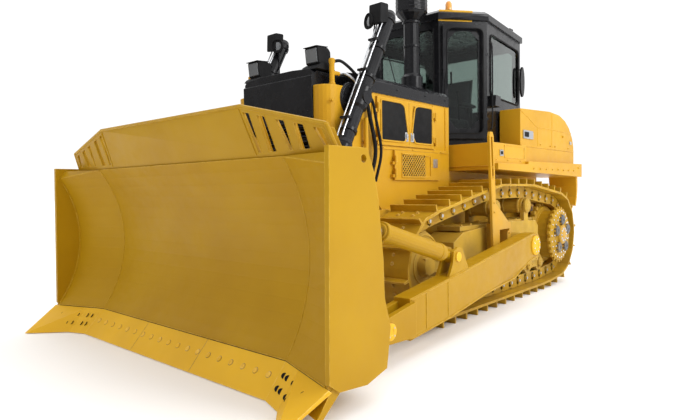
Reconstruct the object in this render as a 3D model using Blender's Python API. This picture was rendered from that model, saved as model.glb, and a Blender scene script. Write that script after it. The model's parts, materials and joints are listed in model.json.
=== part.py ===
"""Large crawler bulldozer with a semi-U blade, built from named sub-parts.

Metres, +Z up. The machine faces -Y and +X is its left side. While it is built, Y runs from a datum
behind the sprocket shaft; at the end a parent empty puts the middle of its length at Y = 0.
"""
import math

import bmesh
import bpy
from mathutils import Matrix, Vector

for leftover in list(bpy.data.objects):
    bpy.data.objects.remove(leftover, do_unlink=True)

# ---------------------------------------------------------------- driving dimensions
SEAT = 0.0003            # gap between pieces that rest on each other
PLAY = 0.006             # gap between pieces that move past each other
ROUND = 16               # sides of a large round piece
FLATNESS = 1e-6          # a face with four corners is split when it is less flat than this

# Crawler
TRACK_GAUGE = 2.26
SHOE_WIDTH = 0.61
TRACK_PITCH = 0.26
GROUSER_HEIGHT = 0.075
SHOE_RISE = 0.125        # pin line to the shoe's outer face
SHOE_THICKNESS = 0.03
LINK_HALF_HEIGHT = 0.065
LINK_WIDTH = 0.26
IDLER_Y = -3.905
IDLER_PITCH_RADIUS = 0.48
SPROCKET_Y = -0.28
SPROCKET_Z = 0.78
SPROCKET_PITCH_RADIUS = 0.54
ROLLER_RADIUS = 0.13
ROLLER_RELIEF = 0.006    # lets the links bend over the end rollers
ROLLER_COUNT = 7
ROLLER_FRONT_Y = -3.30
ROLLER_REAR_Y = -0.82
CARRIER_RADIUS = 0.12
CARRIER_Y = (-2.36, -1.36)
CARRIER_PITCH_Z = 1.455
TRACK_FRAME_WIDTH = 0.40

# Hull and covers
HULL_HALF_WIDTH = 0.78
HULL_FRONT_Y = -4.20
HULL_REAR_Y = 0.50
HULL_BOTTOM_Z = 0.52
HULL_TOP_Z = 1.30
PLATFORM_Z = 2.12
CASE_HALF_WIDTH = 0.70
CASE_FRONT_Y = -2.46
FENDER_OUTER_X = 1.42
FENDER_FRONT_Y = -2.46
FENDER_REAR_Y = 0.80
FENDER_BEAM_Z = (1.70, 1.90)
BATTERY_BOX_X = 1.37

# Radiator guard and engine enclosure
GUARD_HALF_WIDTH = 0.75
GUARD_FRONT_Y = -4.92
GUARD_TOP_Z = 2.62
GUARD_BOTTOM_Z = 0.62
GRILLE_HALF_WIDTH = 0.558
GRILLE_TOP_Z = 2.78
HOOD_HALF_WIDTH = 0.745
HOOD_WALL = 0.05
HOOD_SILL_Z = 1.40
HOOD_DECK_Z = 2.64
HOOD_TOP_Z = 2.80
HOOD_CROWN_Z = 2.83
HOOD_REAR_Y = -2.52
HOOD_DOOR_THICKNESS = 0.03
HOOD_DOOR_ANGLE_Y = (-4.12, -3.50, -2.93)
UPPER_DOOR_Z = (2.04, 2.58)
LOWER_DOOR_Y = (-3.80, -2.80)
LOWER_DOOR_Z = (1.64, 1.99)

# Cab: half widths and places of its three pairs of pillars
CAB_A = (0.55, -2.44)
CAB_B = (1.00, -1.90)
CAB_C = (0.85, -0.45)
CAB_BASE_Z = PLATFORM_Z + SEAT
CAB_SILL_Z = 2.20
CAB_HEAD_Z = 3.80
CAB_WALL = 0.05
ROOF_THICKNESS = 0.14

# Fuel tank
TANK_HALF_WIDTH = 1.30
TANK_FRONT_Y = -1.48
TANK_REAR_Y = 0.74
TANK_TOP_Z = 2.72
TANK_CAB_GAP = 0.03

# Stack
STACK_X = 0.35
STACK_Y = -2.80
STACK_RADIUS = 0.11
PRECLEANER_RADIUS = 0.215
STACK_TOP_Z = 4.18

# Push arms
TRUNNION_Y = -1.90
TRUNNION_Z = 0.76
TRUNNION_RADIUS = 0.09
ARM_INNER_X = 1.50
ARM_WIDTH = 0.18
ARM_SPLAY = 0.034        # outward run for each metre forward
ARM_PIN_Y = -5.33
ARM_PIN_Z = 0.33
ARM_PIN_RADIUS = 0.06
BRACKET_Y = -4.05
BRACKET_Z = 0.83
BRACE_PIN_RADIUS = 0.035

# Blade
SEAM_X = 1.50
WING_X = 2.15
WING_SLOPE = math.tan(math.radians(20.0))
BLADE_TOP_Z = 1.79
WING_TIP_Z = 1.704       # the mouldboard's front edge falls to this at the side plates
WING_HEAD_Y = -6.09      # front of the flat head at the side plates, before the wing's sweep
HEAD_REAR_Y = -6.00
EDGE_TOP = Vector((-6.219, 0.244))
EDGE_BOTTOM = Vector((-6.432, 0.004))
BLADE_DEPTH_Y = -5.95
BLADE_PLATE = 0.04
SIDE_PLATE = 0.04
BIT_TOP_X = 2.17
BIT_TOE = Vector((2.05, -6.844))
BRACE_EYE_Y = -5.72
BRACE_EYE_Z = 1.30

# Lift cylinders
LIFT_X = 0.87
LIFT_EYE = Vector((-5.42, 0.87))
LIFT_TRUNNION = Vector((-4.54, 2.49))
LIFT_BARREL_RADIUS = 0.08
LIFT_BORE_RADIUS = 0.062
LIFT_ROD_RADIUS = 0.042
LIFT_ABOVE = 1.15
LIFT_BELOW = 0.64
BEARING_RADIUS = 0.17
BEARING_THICKNESS = 0.022
BEARING_PIN_LENGTH = 0.02
BEARING_PIN_RADIUS = 0.045
LIFT_STUB_RADIUS = 0.07

SIDES = (("L", 1), ("R", -1))


# ---------------------------------------------------------------- solids
def add_object(name, mesh):
    """Put a mesh into the scene as an object."""
    item = bpy.data.objects.new(name, mesh)
    bpy.context.scene.collection.objects.link(item)
    return item


def rings_solid(rings):
    """Closed solid through rings of equally many points, capped at both ends."""
    form = bmesh.new()
    rows = [[form.verts.new(point) for point in ring] for ring in rings]
    count = len(rows[0])
    for first, second in zip(rows, rows[1:]):
        for i in range(count):
            j = (i + 1) % count
            a, b, c, d = first[i], first[j], second[j], second[i]
            normal = (b.co - a.co).cross(d.co - a.co).normalized()
            if abs(normal.dot(c.co - a.co)) < FLATNESS:
                form.faces.new((a, b, c, d))
            else:
                form.faces.new((a, b, c))
                form.faces.new((a, c, d))
    form.faces.new(rows[0])
    form.faces.new(rows[-1])
    bmesh.ops.recalc_face_normals(form, faces=form.faces)
    mesh = bpy.data.meshes.new("solid")
    form.to_mesh(mesh)
    form.free()
    return add_object("solid", mesh)


def prism(outline, axis, low, high):
    """Extrude an outline along X (points are Y, Z), Y (points are X, Z) or Z (points are X, Y)."""
    place = {
        "X": lambda a, b, c: (c, a, b),
        "Y": lambda a, b, c: (a, c, b),
        "Z": lambda a, b, c: (a, b, c),
    }[axis]
    return rings_solid([[place(a, b, c) for a, b in outline] for c in (low, high)])


def box(x0, x1, y0, y1, z0, z1):
    """Upright box between two corners."""
    return prism([(x0, y0), (x1, y0), (x1, y1), (x0, y1)], "Z", z0, z1)


def turned(start, end, profile, sides=ROUND, turn=0.0):
    """Turn a profile of (distance, radius) about the line from start to end.

    A profile that begins and ends at radius 0 is a closed round solid, which may hold a bore. Its
    corners are turned by a share of one side.
    """
    start = Vector(start)
    along = (Vector(end) - start).normalized()
    helper = Vector((1, 0, 0)) if abs(along.x) < 0.9 else Vector((0, 0, 1))
    across = along.cross(helper).normalized()
    other = along.cross(across)
    form = bmesh.new()
    rows = []
    for distance, radius in profile:
        centre = start + along * distance
        if radius == 0:
            rows.append([form.verts.new(centre)])
            continue
        angles = [2 * math.pi * (i + turn) / sides for i in range(sides)]
        rows.append([form.verts.new(centre + (across * math.cos(a) + other * math.sin(a)) * radius)
                     for a in angles])
    for first, second in zip(rows, rows[1:]):
        for i in range(sides):
            j = (i + 1) % sides
            corners = [first[i % len(first)], first[j % len(first)],
                       second[j % len(second)], second[i % len(second)]]
            form.faces.new(list(dict.fromkeys(corners)))
    bmesh.ops.recalc_face_normals(form, faces=form.faces)
    mesh = bpy.data.meshes.new("turned")
    form.to_mesh(mesh)
    form.free()
    return add_object("turned", mesh)


def rod(start, end, radius, sides=ROUND):
    """Plain round bar between two points."""
    length = (Vector(end) - Vector(start)).length
    return turned(start, end, [(0, 0), (0, radius), (length, radius), (length, 0)], sides)


def x_rod(y, z, x0, x1, radius, sides=ROUND):
    """Round bar along X."""
    return rod((x0, y, z), (x1, y, z), radius, sides)


def x_bore(y, z, x0, x1, pin_radius, sides=ROUND):
    """Tool for a bore along X in which a pin with as many sides turns with its corners clear of the flats."""
    radius = (pin_radius + SEAT) / math.cos(math.pi / sides)
    return turned((x0, y, z), (x1, y, z), [(0, 0), (0, radius), (x1 - x0, radius), (x1 - x0, 0)], sides, 0.5)


def combine(base, tools, operation):
    """Apply one Boolean after another to base, and drop the tools."""
    for tool in tools:
        step = base.modifiers.new("step", "BOOLEAN")
        step.operation = operation
        step.object = tool
        scene_state = bpy.context.evaluated_depsgraph_get()
        result = bpy.data.meshes.new_from_object(base.evaluated_get(scene_state))
        base.modifiers.clear()
        base.data = result
        bpy.data.objects.remove(tool, do_unlink=True)
    return base


def unite(base, *tools):
    """Join solids that overlap into base."""
    return combine(base, tools, "UNION")


def cut(base, *tools):
    """Take tools out of base."""
    return combine(base, tools, "DIFFERENCE")


def shear_x(item, slope, fixed_y, side=1):
    """Lean a piece outward by slope for each metre forward of fixed_y."""
    for vertex in item.data.vertices:
        vertex.co.x += side * slope * (fixed_y - vertex.co.y)
    return item


def flip_side(item, side):
    """Return the piece as modelled for the left side, or mirrored for the right side."""
    if side < 0:
        item.data.transform(Matrix.Scale(-1, 4, (1, 0, 0)))
        item.data.flip_normals()
    return item


# ---------------------------------------------------------------- materials and placing
COLOURS = {
    "yellow": ((0.80, 0.47, 0.05), 0.45, 0.0),
    "worn_yellow": ((0.62, 0.42, 0.14), 0.60, 0.0),
    "black": ((0.03, 0.03, 0.035), 0.45, 0.0),
    "grey": ((0.12, 0.12, 0.13), 0.50, 0.3),
    "steel": ((0.55, 0.55, 0.56), 0.25, 1.0),
    "track": ((0.55, 0.38, 0.12), 0.60, 0.2),
    "rubber": ((0.02, 0.02, 0.02), 0.80, 0.0),
    "glass": ((0.05, 0.06, 0.07), 0.08, 0.0),
}
MATERIALS = {}


def material(name):
    """One Principled material for each colour."""
    if name not in MATERIALS:
        colour, roughness, metallic = COLOURS[name]
        made = bpy.data.materials.new(name)
        made.use_nodes = True
        shader = made.node_tree.nodes["Principled BSDF"]
        shader.inputs["Base Color"].default_value = (*colour, 1.0)
        shader.inputs["Roughness"].default_value = roughness
        shader.inputs["Metallic"].default_value = metallic
        MATERIALS[name] = made
    return MATERIALS[name]


machine = bpy.data.objects.new("machine", None)
bpy.context.scene.collection.objects.link(machine)
PIVOTS = {}


def pivot(name, point, parent=None):
    """Empty on a joint's axis."""
    empty = bpy.data.objects.new("pivot_" + name, None)
    bpy.context.scene.collection.objects.link(empty)
    above = PIVOTS[parent] if parent else (machine, Vector((0, 0, 0)))
    empty.parent = above[0]
    empty.location = Vector(point) - above[1]
    PIVOTS[name] = (empty, Vector(point))


def place(item, name, colour, pivot_name=None):
    """Name a finished piece, colour it, and hang it on the machine or on its pivot."""
    parent, point = PIVOTS[pivot_name] if pivot_name else (machine, Vector((0, 0, 0)))
    item.name = name
    item.data.name = name
    item.data.transform(Matrix.Translation(-point))
    item.parent = parent
    item.data.materials.clear()
    item.data.materials.append(material(colour))
    item.data.shade_smooth()
    item.data.set_sharp_from_angle(angle=math.radians(35))
    return item


# ---------------------------------------------------------------- crawler
TRACK_X = TRACK_GAUGE / 2
IDLER_Z = GROUSER_HEIGHT + SHOE_RISE + IDLER_PITCH_RADIUS
GROUND_PITCH_Z = GROUSER_HEIGHT + SHOE_RISE
ROLLER_Z = GROUND_PITCH_Z + LINK_HALF_HEIGHT + SEAT + ROLLER_RADIUS
CARRIER_Z = CARRIER_PITCH_Z - LINK_HALF_HEIGHT - CARRIER_RADIUS
TRACK_FRAME_INNER_X = TRACK_X - TRACK_FRAME_WIDTH / 2
TRACK_FRAME_OUTER_X = TRACK_X + TRACK_FRAME_WIDTH / 2
ROLLER_STEP = (ROLLER_REAR_Y - ROLLER_FRONT_Y) / (ROLLER_COUNT - 1)
ROLLERS_Y = [ROLLER_FRONT_Y + ROLLER_STEP * i for i in range(ROLLER_COUNT)]


def convex_hull(points):
    """Corners of the convex outline round a set of points, anticlockwise."""
    points = sorted(set(points))
    halves = []
    for run in (points, points[::-1]):
        half = []
        for p in run:
            while len(half) > 1:
                (ax, ay), (bx, by) = half[-2], half[-1]
                if (bx - ax) * (p[1] - ay) - (by - ay) * (p[0] - ax) > 1e-12:
                    break
                half.pop()
            half.append(p)
        halves.append(half[:-1])
    return halves[0] + halves[1]


def pin_line():
    """Places of the track's pins: equal steps along the belt round wheels and rollers."""
    wheels = [(IDLER_Y, IDLER_Z, IDLER_PITCH_RADIUS), (SPROCKET_Y, SPROCKET_Z, SPROCKET_PITCH_RADIUS)]
    wheels += [(y, CARRIER_Z, CARRIER_RADIUS + LINK_HALF_HEIGHT) for y in CARRIER_Y]
    ground_radius = ROLLER_Z - GROUND_PITCH_Z
    wheels += [(y, ROLLER_Z, ground_radius) for y in (ROLLERS_Y[0], ROLLERS_Y[-1])]
    arc_points = 180
    rim = [(y + r * math.cos(2 * math.pi * i / arc_points), z + r * math.sin(2 * math.pi * i / arc_points))
           for y, z, r in wheels for i in range(arc_points)]
    hull = [Vector(p) for p in convex_hull(rim)]
    hull.append(hull[0])
    reach = [0.0]
    for a, b in zip(hull, hull[1:]):
        reach.append(reach[-1] + (b - a).length)
    links = round(reach[-1] / TRACK_PITCH)
    pins = []
    for i in range(links):
        wanted = reach[-1] * i / links
        k = max(n for n, length in enumerate(reach) if length <= wanted + 1e-9)
        k = min(k, len(hull) - 2)
        part = (wanted - reach[k]) / (reach[k + 1] - reach[k])
        pins.append(hull[k].lerp(hull[k + 1], part))
    return pins


def pin_normals(pins):
    """Outward direction at each pin, half way between its two links."""
    normals = []
    for i, pin in enumerate(pins):
        along = (pins[(i + 1) % len(pins)] - pins[i - 1]).normalized()
        normals.append(Vector((along.y, -along.x)))
    return normals


def track(side):
    """Endless track: shoes with grousers over a chain of links, as one loop."""
    pins = pin_line()
    normals = pin_normals(pins)
    shoe_edge = []
    profile = ((0.04, 0.0), (0.10, 0.0), (0.11, GROUSER_HEIGHT), (0.19, GROUSER_HEIGHT), (0.20, 0.0),
               (0.96, 0.0))
    for i, pin in enumerate(pins):
        following = pins[(i + 1) % len(pins)]
        along = following - pin
        out = Vector((along.y, -along.x)).normalized()
        for share, rise in profile:
            shoe_edge.append(pin + along * share + out * (SHOE_RISE + rise))
    inner = SHOE_RISE - SHOE_THICKNESS
    shoe_inside = [p + n * inner for p, n in zip(pins, normals)]
    chain_outside = [p + n * (inner + SHOE_THICKNESS / 3) for p, n in zip(pins, normals)]
    chain_inside = [p - n * LINK_HALF_HEIGHT for p, n in zip(pins, normals)]
    x0 = TRACK_X - SHOE_WIDTH / 2
    x1 = TRACK_X + SHOE_WIDTH / 2
    c0 = TRACK_X - LINK_WIDTH / 2
    c1 = TRACK_X + LINK_WIDTH / 2
    shoes = cut(prism(shoe_edge, "X", x0, x1), prism(shoe_inside, "X", x0 - 1, x1 + 1))
    chain = cut(prism(chain_outside, "X", c0, c1), prism(chain_inside, "X", c0 - 1, c1 + 1))
    loop = flip_side(unite(shoes, chain), side)
    ground = min(vertex.co.z for vertex in loop.data.vertices)
    for vertex in loop.data.vertices:
        if vertex.co.z < ground + 0.004:
            vertex.co.z = 0.0
    return loop


def wheel_clear_radius(pitch_radius):
    """Largest wheel that stays clear of the links wrapped on it."""
    half_step = TRACK_PITCH / (2 * pitch_radius)
    return pitch_radius * math.cos(half_step) - LINK_HALF_HEIGHT - SEAT


def idler(side):
    """Front wheel that the track runs round, with its hub."""
    radius = wheel_clear_radius(IDLER_PITCH_RADIUS)
    half = 0.10
    profile = [(-0.13, 0), (-0.13, 0.12), (-half, 0.12), (-half, radius - 0.06), (-half + 0.01, radius - 0.03),
               (-0.05, radius - 0.03), (-0.05, radius), (0.05, radius), (0.05, radius - 0.03),
               (half - 0.01, radius - 0.03), (half, radius - 0.06), (half, 0.12), (0.13, 0.12), (0.13, 0)]
    centre = Vector((TRACK_X, IDLER_Y, IDLER_Z))
    wheel = turned(centre, centre + Vector((1, 0, 0)), profile, 20)
    return flip_side(wheel, side)


def track_frame(side):
    """Box beam between idler and sprocket, with its rollers and the trunnion for the push arm."""
    x0, x1 = TRACK_FRAME_INNER_X, TRACK_FRAME_OUTER_X
    beam = prism([(-3.42, 0.60), (-3.30, 0.56), (-0.98, 0.56), (-0.92, 0.66), (-0.92, 0.96), (-1.02, 1.04),
                  (-2.10, 1.08), (-3.20, 1.00), (-3.42, 0.90)], "X", x0, x1)
    guards = [prism([(ROLLER_FRONT_Y - 0.16, 0.34), (ROLLER_REAR_Y + 0.02, 0.34), (ROLLER_REAR_Y + 0.02, 0.60),
                     (ROLLER_FRONT_Y - 0.10, 0.60)], "X", x, x + 0.03)
              for x in (x0 + 0.02, x1 - 0.05)]
    rollers = []
    for y in ROLLERS_Y:
        relief = ROLLER_RELIEF if y in (ROLLERS_Y[0], ROLLERS_Y[-1]) else 0
        rollers.append(x_rod(y, ROLLER_Z, x0 + 0.03, x1 - 0.03, ROLLER_RADIUS - relief, 12))
    carriers = []
    for y in CARRIER_Y:
        carriers.append(x_rod(y, CARRIER_Z, TRACK_X - 0.16, TRACK_X + 0.17, CARRIER_RADIUS - 2 * ROLLER_RELIEF, 12))
        carriers.append(box(TRACK_X + 0.14, TRACK_X + 0.20, y - 0.07, y + 0.07, 0.98, CARRIER_Z + 0.03))
        carriers.append(box(TRACK_X - 0.20, TRACK_X - 0.14, y - 0.07, y + 0.07, 0.98, CARRIER_Z + 0.03))
    fork = [box(x, x + 0.05, -3.99, -3.35, IDLER_Z - 0.08, IDLER_Z + 0.09)
            for x in (TRACK_X + 0.13 + SEAT, TRACK_X - 0.18 - SEAT)]
    pin = x_rod(TRUNNION_Y, TRUNNION_Z, x1 - 0.05, ARM_INNER_X + ARM_WIDTH - 0.04, TRUNNION_RADIUS)
    collar = x_rod(TRUNNION_Y, TRUNNION_Z, x1 - 0.05, ARM_INNER_X - 0.03, TRUNNION_RADIUS + 0.07)
    frame = unite(beam, *guards, *rollers, *carriers, *fork, collar, pin)
    return flip_side(frame, side)


def final_drive(side):
    """Sprocket and its housing, with the bolted cover that faces outward."""
    centre = Vector((0, SPROCKET_Y, SPROCKET_Z))
    wheel = wheel_clear_radius(SPROCKET_PITCH_RADIUS)
    profile = [(0.87 + SEAT, 0), (0.87 + SEAT, 0.33), (TRACK_X - 0.06, 0.33), (TRACK_X - 0.06, wheel - 0.02),
               (TRACK_X - 0.04, wheel), (TRACK_X + 0.04, wheel), (TRACK_X + 0.06, wheel - 0.02),
               (TRACK_X + 0.06, 0.38), (1.36, 0.37), (1.38, 0.41), (1.43, 0.41), (1.45, 0.33), (1.45, 0.16),
               (1.49, 0.14), (1.49, 0)]
    hub = turned(centre, centre + Vector((1, 0, 0)), profile, 24)
    lobes = []
    for i in range(5):
        angle = math.radians(90 + 72 * i)
        y = SPROCKET_Y + 0.235 * math.cos(angle)
        z = SPROCKET_Z + 0.235 * math.sin(angle)
        lobes.append(x_rod(y, z, 1.40, 1.475, 0.085, 8))
    return flip_side(unite(hub, *lobes), side)


def step_post(side):
    """Grab post with an eye at its top, bolted to a box step on the track frame."""
    x0, x1 = 1.45, 1.485
    foot_y, head_y = -2.66, -2.76
    foot_z, head_z = 0.76, 2.22
    lean = (head_y - foot_y) / (head_z - foot_z)

    def at(z):
        return foot_y + lean * (z - foot_z)

    half = 0.055
    post = prism([(at(foot_z) - half, foot_z), (at(foot_z) + half, foot_z), (at(head_z - 0.05) + half, head_z - 0.05),
                  (head_y + 0.03, head_z), (head_y - 0.03, head_z), (at(head_z - 0.05) - half, head_z - 0.05)],
                 "X", x0, x1)
    eye = prism([(at(1.66) - 0.022, 1.66), (at(1.66) + 0.022, 1.66), (at(2.16) + 0.022, 2.16),
                 (at(2.16) - 0.022, 2.16)], "X", x0 - 1, x1 + 1)
    gusset = prism([(at(0.78) + 0.02, 0.78), (-2.24, 0.98), (-2.24, 1.06), (-2.44, 1.20), (at(1.36) + 0.02, 1.36)],
                   "X", x0, x1)
    step = box(TRACK_FRAME_OUTER_X + SEAT, x0 + 0.01, -2.60, -2.16, 0.72, 1.08)
    window = box(TRACK_FRAME_OUTER_X - 1, x1 + 1, -2.54, -2.26, 0.78, 1.00)
    return flip_side(cut(unite(cut(post, eye), gusset, step), window), side)


# ---------------------------------------------------------------- hull
def main_frame():
    """Welded hull with belly, final-drive axle, equalizer bar and the case under the cab."""
    hull = box(-HULL_HALF_WIDTH, HULL_HALF_WIDTH, HULL_FRONT_Y + SEAT, HULL_REAR_Y, HULL_BOTTOM_Z, HULL_TOP_Z)
    case = box(-CASE_HALF_WIDTH, CASE_HALF_WIDTH, CASE_FRONT_Y, HULL_REAR_Y + 0.10, HULL_TOP_Z - 0.1, PLATFORM_Z)
    axle = x_rod(SPROCKET_Y, SPROCKET_Z, -0.87, 0.87, 0.30)
    inner = TRACK_FRAME_INNER_X - SEAT
    equalizer = box(-inner, inner, -3.20, -2.90, 0.72, 0.90)
    shaft = x_rod(-1.20, 0.80, -inner, inner, 0.11)
    nose = prism([(-4.10, 0.80), (-3.60, 0.50), (-3.60, 0.70), (-4.10, 0.95)], "X", -0.60, 0.60)
    return unite(hull, case, axle, equalizer, shaft, nose)


def engine_block():
    """Engine as one plain block on the hull."""
    return box(-0.42, 0.42, -3.95, -2.70, HULL_TOP_Z + SEAT, 2.30)


def radiator_guard():
    """Guard with round corner columns, open to the front."""
    radius = 0.16
    front = GUARD_FRONT_Y
    w = GUARD_HALF_WIDTH
    corner = [(w - radius + radius * math.sin(math.radians(a)), front + radius - radius * math.cos(math.radians(a)))
              for a in range(0, 91, 15)]
    outline = [(-x, y) for x, y in reversed(corner)] + corner
    outline = [(-w, HULL_FRONT_Y - SEAT)] + outline + [(w, HULL_FRONT_Y - SEAT)]
    body = prism(outline, "Z", GUARD_BOTTOM_Z, GUARD_TOP_Z)
    bay = box(-GRILLE_HALF_WIDTH, GRILLE_HALF_WIDTH, front - 1, -4.40, 1.20, GUARD_TOP_Z + 1)
    duct = box(-0.50, 0.50, -4.60, HULL_FRONT_Y + 1, 1.40, 2.40)
    return cut(body, bay, duct)


BEARING_FACE_X = GUARD_HALF_WIDTH + SEAT + BEARING_THICKNESS


def lift_bearing(side):
    """Casting on the guard's side whose pin carries a lift cylinder."""
    seat_x = GUARD_HALF_WIDTH + SEAT
    casting = x_rod(*LIFT_TRUNNION, seat_x, BEARING_FACE_X, BEARING_RADIUS)
    pin = x_rod(*LIFT_TRUNNION, seat_x, BEARING_FACE_X + BEARING_PIN_LENGTH, BEARING_PIN_RADIUS)
    return flip_side(unite(casting, pin), side)


def front_grille():
    """Black front with louvre slots in the opening of the guard, and the cap above it."""
    w = GRILLE_HALF_WIDTH - SEAT
    plate = box(-w, w, GUARD_FRONT_Y + 0.01, GUARD_FRONT_Y + 0.07, 1.20 + SEAT, 2.30)
    cap = prism([(GUARD_FRONT_Y - 0.02, 2.26), (GUARD_FRONT_Y - 0.02, 2.72), (GUARD_FRONT_Y + 0.06, GRILLE_TOP_Z),
                 (-4.40 - SEAT, GRILLE_TOP_Z), (-4.40 - SEAT, 2.26)], "X", -w, w)
    slots = []
    count = 6
    for i in range(count):
        z = 1.32 + 0.155 * i
        slots.append(box(-w + 0.07, w - 0.07, GUARD_FRONT_Y - 0.5, GUARD_FRONT_Y + 0.5, z, z + 0.09))
    return unite(cut(plate, *slots), cap)


def hinge_leaves(x, y, heights, door_direction, side, lug_depth):
    """Knuckles of a door on an upright axis, and the lugs of its frame below them.

    The door lies along door_direction from the axis; lug_depth is how far the leaves reach inward.
    """
    half = 0.035
    radius = 0.016
    u = Vector((door_direction[0], door_direction[1], 0)).normalized()
    n = Vector((u.y, -u.x, 0))
    if n.x * side < 0:
        n = -n
    centre = Vector((x, y, 0))

    def leaf(direction, z0, z1):
        reach = 0.045
        near = centre - n * lug_depth
        far = centre - n * 0.004
        clear = direction * 0.001
        corners = [near + clear, near + direction * reach, far + direction * reach, far + clear]
        return prism([(c.x, c.y) for c in corners], "Z", z0, z1)

    knuckles, lugs = [], []
    for z in heights:
        knuckles += [rod((x, y, z - half), (x, y, z + half), radius, 8), leaf(u, z - half, z + half)]
        z0 = z - 2 * half - SEAT
        lugs += [rod((x, y, z0), (x, y, z0 + half), radius, 8), leaf(-u, z0, z0 + half)]
    return knuckles, lugs


DOOR_FACE_X = HOOD_HALF_WIDTH + SEAT + HOOD_DOOR_THICKNESS
HINGE_X = DOOR_FACE_X + 0.018
HOOD_HINGES = {
    "hood_door_front": (HOOD_DOOR_ANGLE_Y[0] - 0.004, (UPPER_DOOR_Z[0] + 0.11, UPPER_DOOR_Z[1] - 0.11), 1),
    "hood_door_rear": (HOOD_DOOR_ANGLE_Y[2] + 0.004, (UPPER_DOOR_Z[0] + 0.11, UPPER_DOOR_Z[1] - 0.11), -1),
    "panel_door": (LOWER_DOOR_Y[0] - 0.004, (LOWER_DOOR_Z[0] + 0.10, LOWER_DOOR_Z[1] - 0.10), 1),
}


def door_panel(y0, y1, z0, z1, vent):
    """Flat engine door with a recessed vent field."""
    x0 = HOOD_HALF_WIDTH + SEAT
    panel = box(x0, DOOR_FACE_X, y0, y1, z0, z1)
    field = prism(vent, "X", DOOR_FACE_X - 0.012, DOOR_FACE_X + 0.1)
    return cut(panel, field)


def hood_door(kind, side):
    """One door of the engine enclosure, with its hinge knuckles."""
    gap = 0.004
    y_hinge, heights, turn = HOOD_HINGES[kind]
    if kind == "panel_door":
        y0, y1 = LOWER_DOOR_Y
        z0, z1 = LOWER_DOOR_Z
        vent = [(y0 + 0.14, z0 + 0.05), (y1 - 0.22, z0 + 0.05), (y1 - 0.22, z1 - 0.05), (y0 + 0.14, z1 - 0.05)]
    else:
        first = kind == "hood_door_front"
        y0, y1 = HOOD_DOOR_ANGLE_Y[:2] if first else HOOD_DOOR_ANGLE_Y[1:]
        y0, y1 = (y0, y1 - gap) if first else (y0 + gap, y1)
        z0, z1 = UPPER_DOOR_Z
        vent = [(y0 + 0.07, z0 + 0.05), (y1 - 0.07, z0 + 0.05), (y1 - 0.07, z1 - 0.06), (y0 + 0.07, z1 - 0.04)]
    knuckles, lugs = hinge_leaves(HINGE_X, y_hinge, heights, (0, turn), 1, 0.022)
    for lug in lugs:
        bpy.data.objects.remove(lug, do_unlink=True)
    return flip_side(unite(door_panel(y0, y1, z0, z1, vent), *knuckles), side)


def engine_frame():
    """Walls of the engine enclosure, with an opening behind each door, and the hinge lugs."""
    w = HOOD_HALF_WIDTH
    front, rear = HULL_FRONT_Y + 0.005, HOOD_REAR_Y
    side_view = [(front, 1.48), (front, HOOD_DECK_Z), (rear, HOOD_DECK_Z), (rear, HULL_TOP_Z + SEAT),
                 (-4.02, HULL_TOP_Z + SEAT)]
    walls = prism(side_view, "X", -w, w)
    hollow = box(-w + HOOD_WALL, w - HOOD_WALL, front + HOOD_WALL, rear - HOOD_WALL, 1.0, HOOD_DECK_Z + 1)
    upper = box(-2, 2, HOOD_DOOR_ANGLE_Y[0] + 0.03, HOOD_DOOR_ANGLE_Y[2] - 0.04, UPPER_DOOR_Z[0] + 0.03,
                UPPER_DOOR_Z[1] - 0.03)
    lower = box(-2, 2, LOWER_DOOR_Y[0] + 0.03, LOWER_DOOR_Y[1] - 0.03, LOWER_DOOR_Z[0] + 0.03,
                LOWER_DOOR_Z[1] - 0.03)
    fan_duct = box(-0.50, 0.50, front - 1, front + 0.2, 1.55, 2.40)
    frame = cut(walls, hollow, upper, lower, fan_duct)
    for _, side in SIDES:
        for y_hinge, heights, turn in HOOD_HINGES.values():
            knuckles, lugs = hinge_leaves(side * HINGE_X, y_hinge, heights, (0, turn), side,
                                          HINGE_X - w + 0.004)
            for knuckle in knuckles:
                bpy.data.objects.remove(knuckle, do_unlink=True)
            unite(frame, *lugs)
    return frame


def hood_top():
    """Crowned black top panel with its side bands."""
    w = HOOD_HALF_WIDTH + 0.005
    z0 = HOOD_DECK_Z + SEAT
    outline = [(-w, z0), (w, z0), (w, HOOD_TOP_Z - 0.05), (w - 0.05, HOOD_TOP_Z), (0.56, HOOD_CROWN_Z),
               (-0.56, HOOD_CROWN_Z), (-w + 0.05, HOOD_TOP_Z), (-w, HOOD_TOP_Z - 0.05)]
    return prism(outline, "Y", -4.39, HOOD_REAR_Y)


def air_stack():
    """Air intake pipe with a wide pre-cleaner on top."""
    base = HOOD_CROWN_Z + SEAT
    profile = [(0, 0), (0, 0.16), (0.05, 0.16), (0.07, STACK_RADIUS), (3.78 - base, STACK_RADIUS),
               (3.86 - base, PRECLEANER_RADIUS - 0.02), (3.90 - base, PRECLEANER_RADIUS),
               (STACK_TOP_Z - 0.10 - base, PRECLEANER_RADIUS), (STACK_TOP_Z - 0.04 - base, 0.17),
               (STACK_TOP_Z - base, 0.07), (STACK_TOP_Z - base, 0)]
    return turned((STACK_X, STACK_Y, base), (STACK_X, STACK_Y, base + 1), profile)


# ---------------------------------------------------------------- cab
def cab_corners(inset=0.0):
    """Six corners of the cab in plan, moved inward by inset, anticlockwise from the front right."""
    ring = [Vector((-CAB_A[0], CAB_A[1])), Vector(CAB_A), Vector(CAB_B), Vector(CAB_C),
            Vector((-CAB_C[0], CAB_C[1])), Vector((-CAB_B[0], CAB_B[1]))]
    if not inset:
        return ring
    moved = []
    for i, corner in enumerate(ring):
        before = (corner - ring[i - 1]).normalized()
        after = (ring[(i + 1) % 6] - corner).normalized()
        n1 = Vector((-before.y, before.x))
        n2 = Vector((-after.y, after.x))
        moved.append(corner + (n1 + n2) * (inset / (1 + n1.dot(n2))))
    return moved


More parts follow.
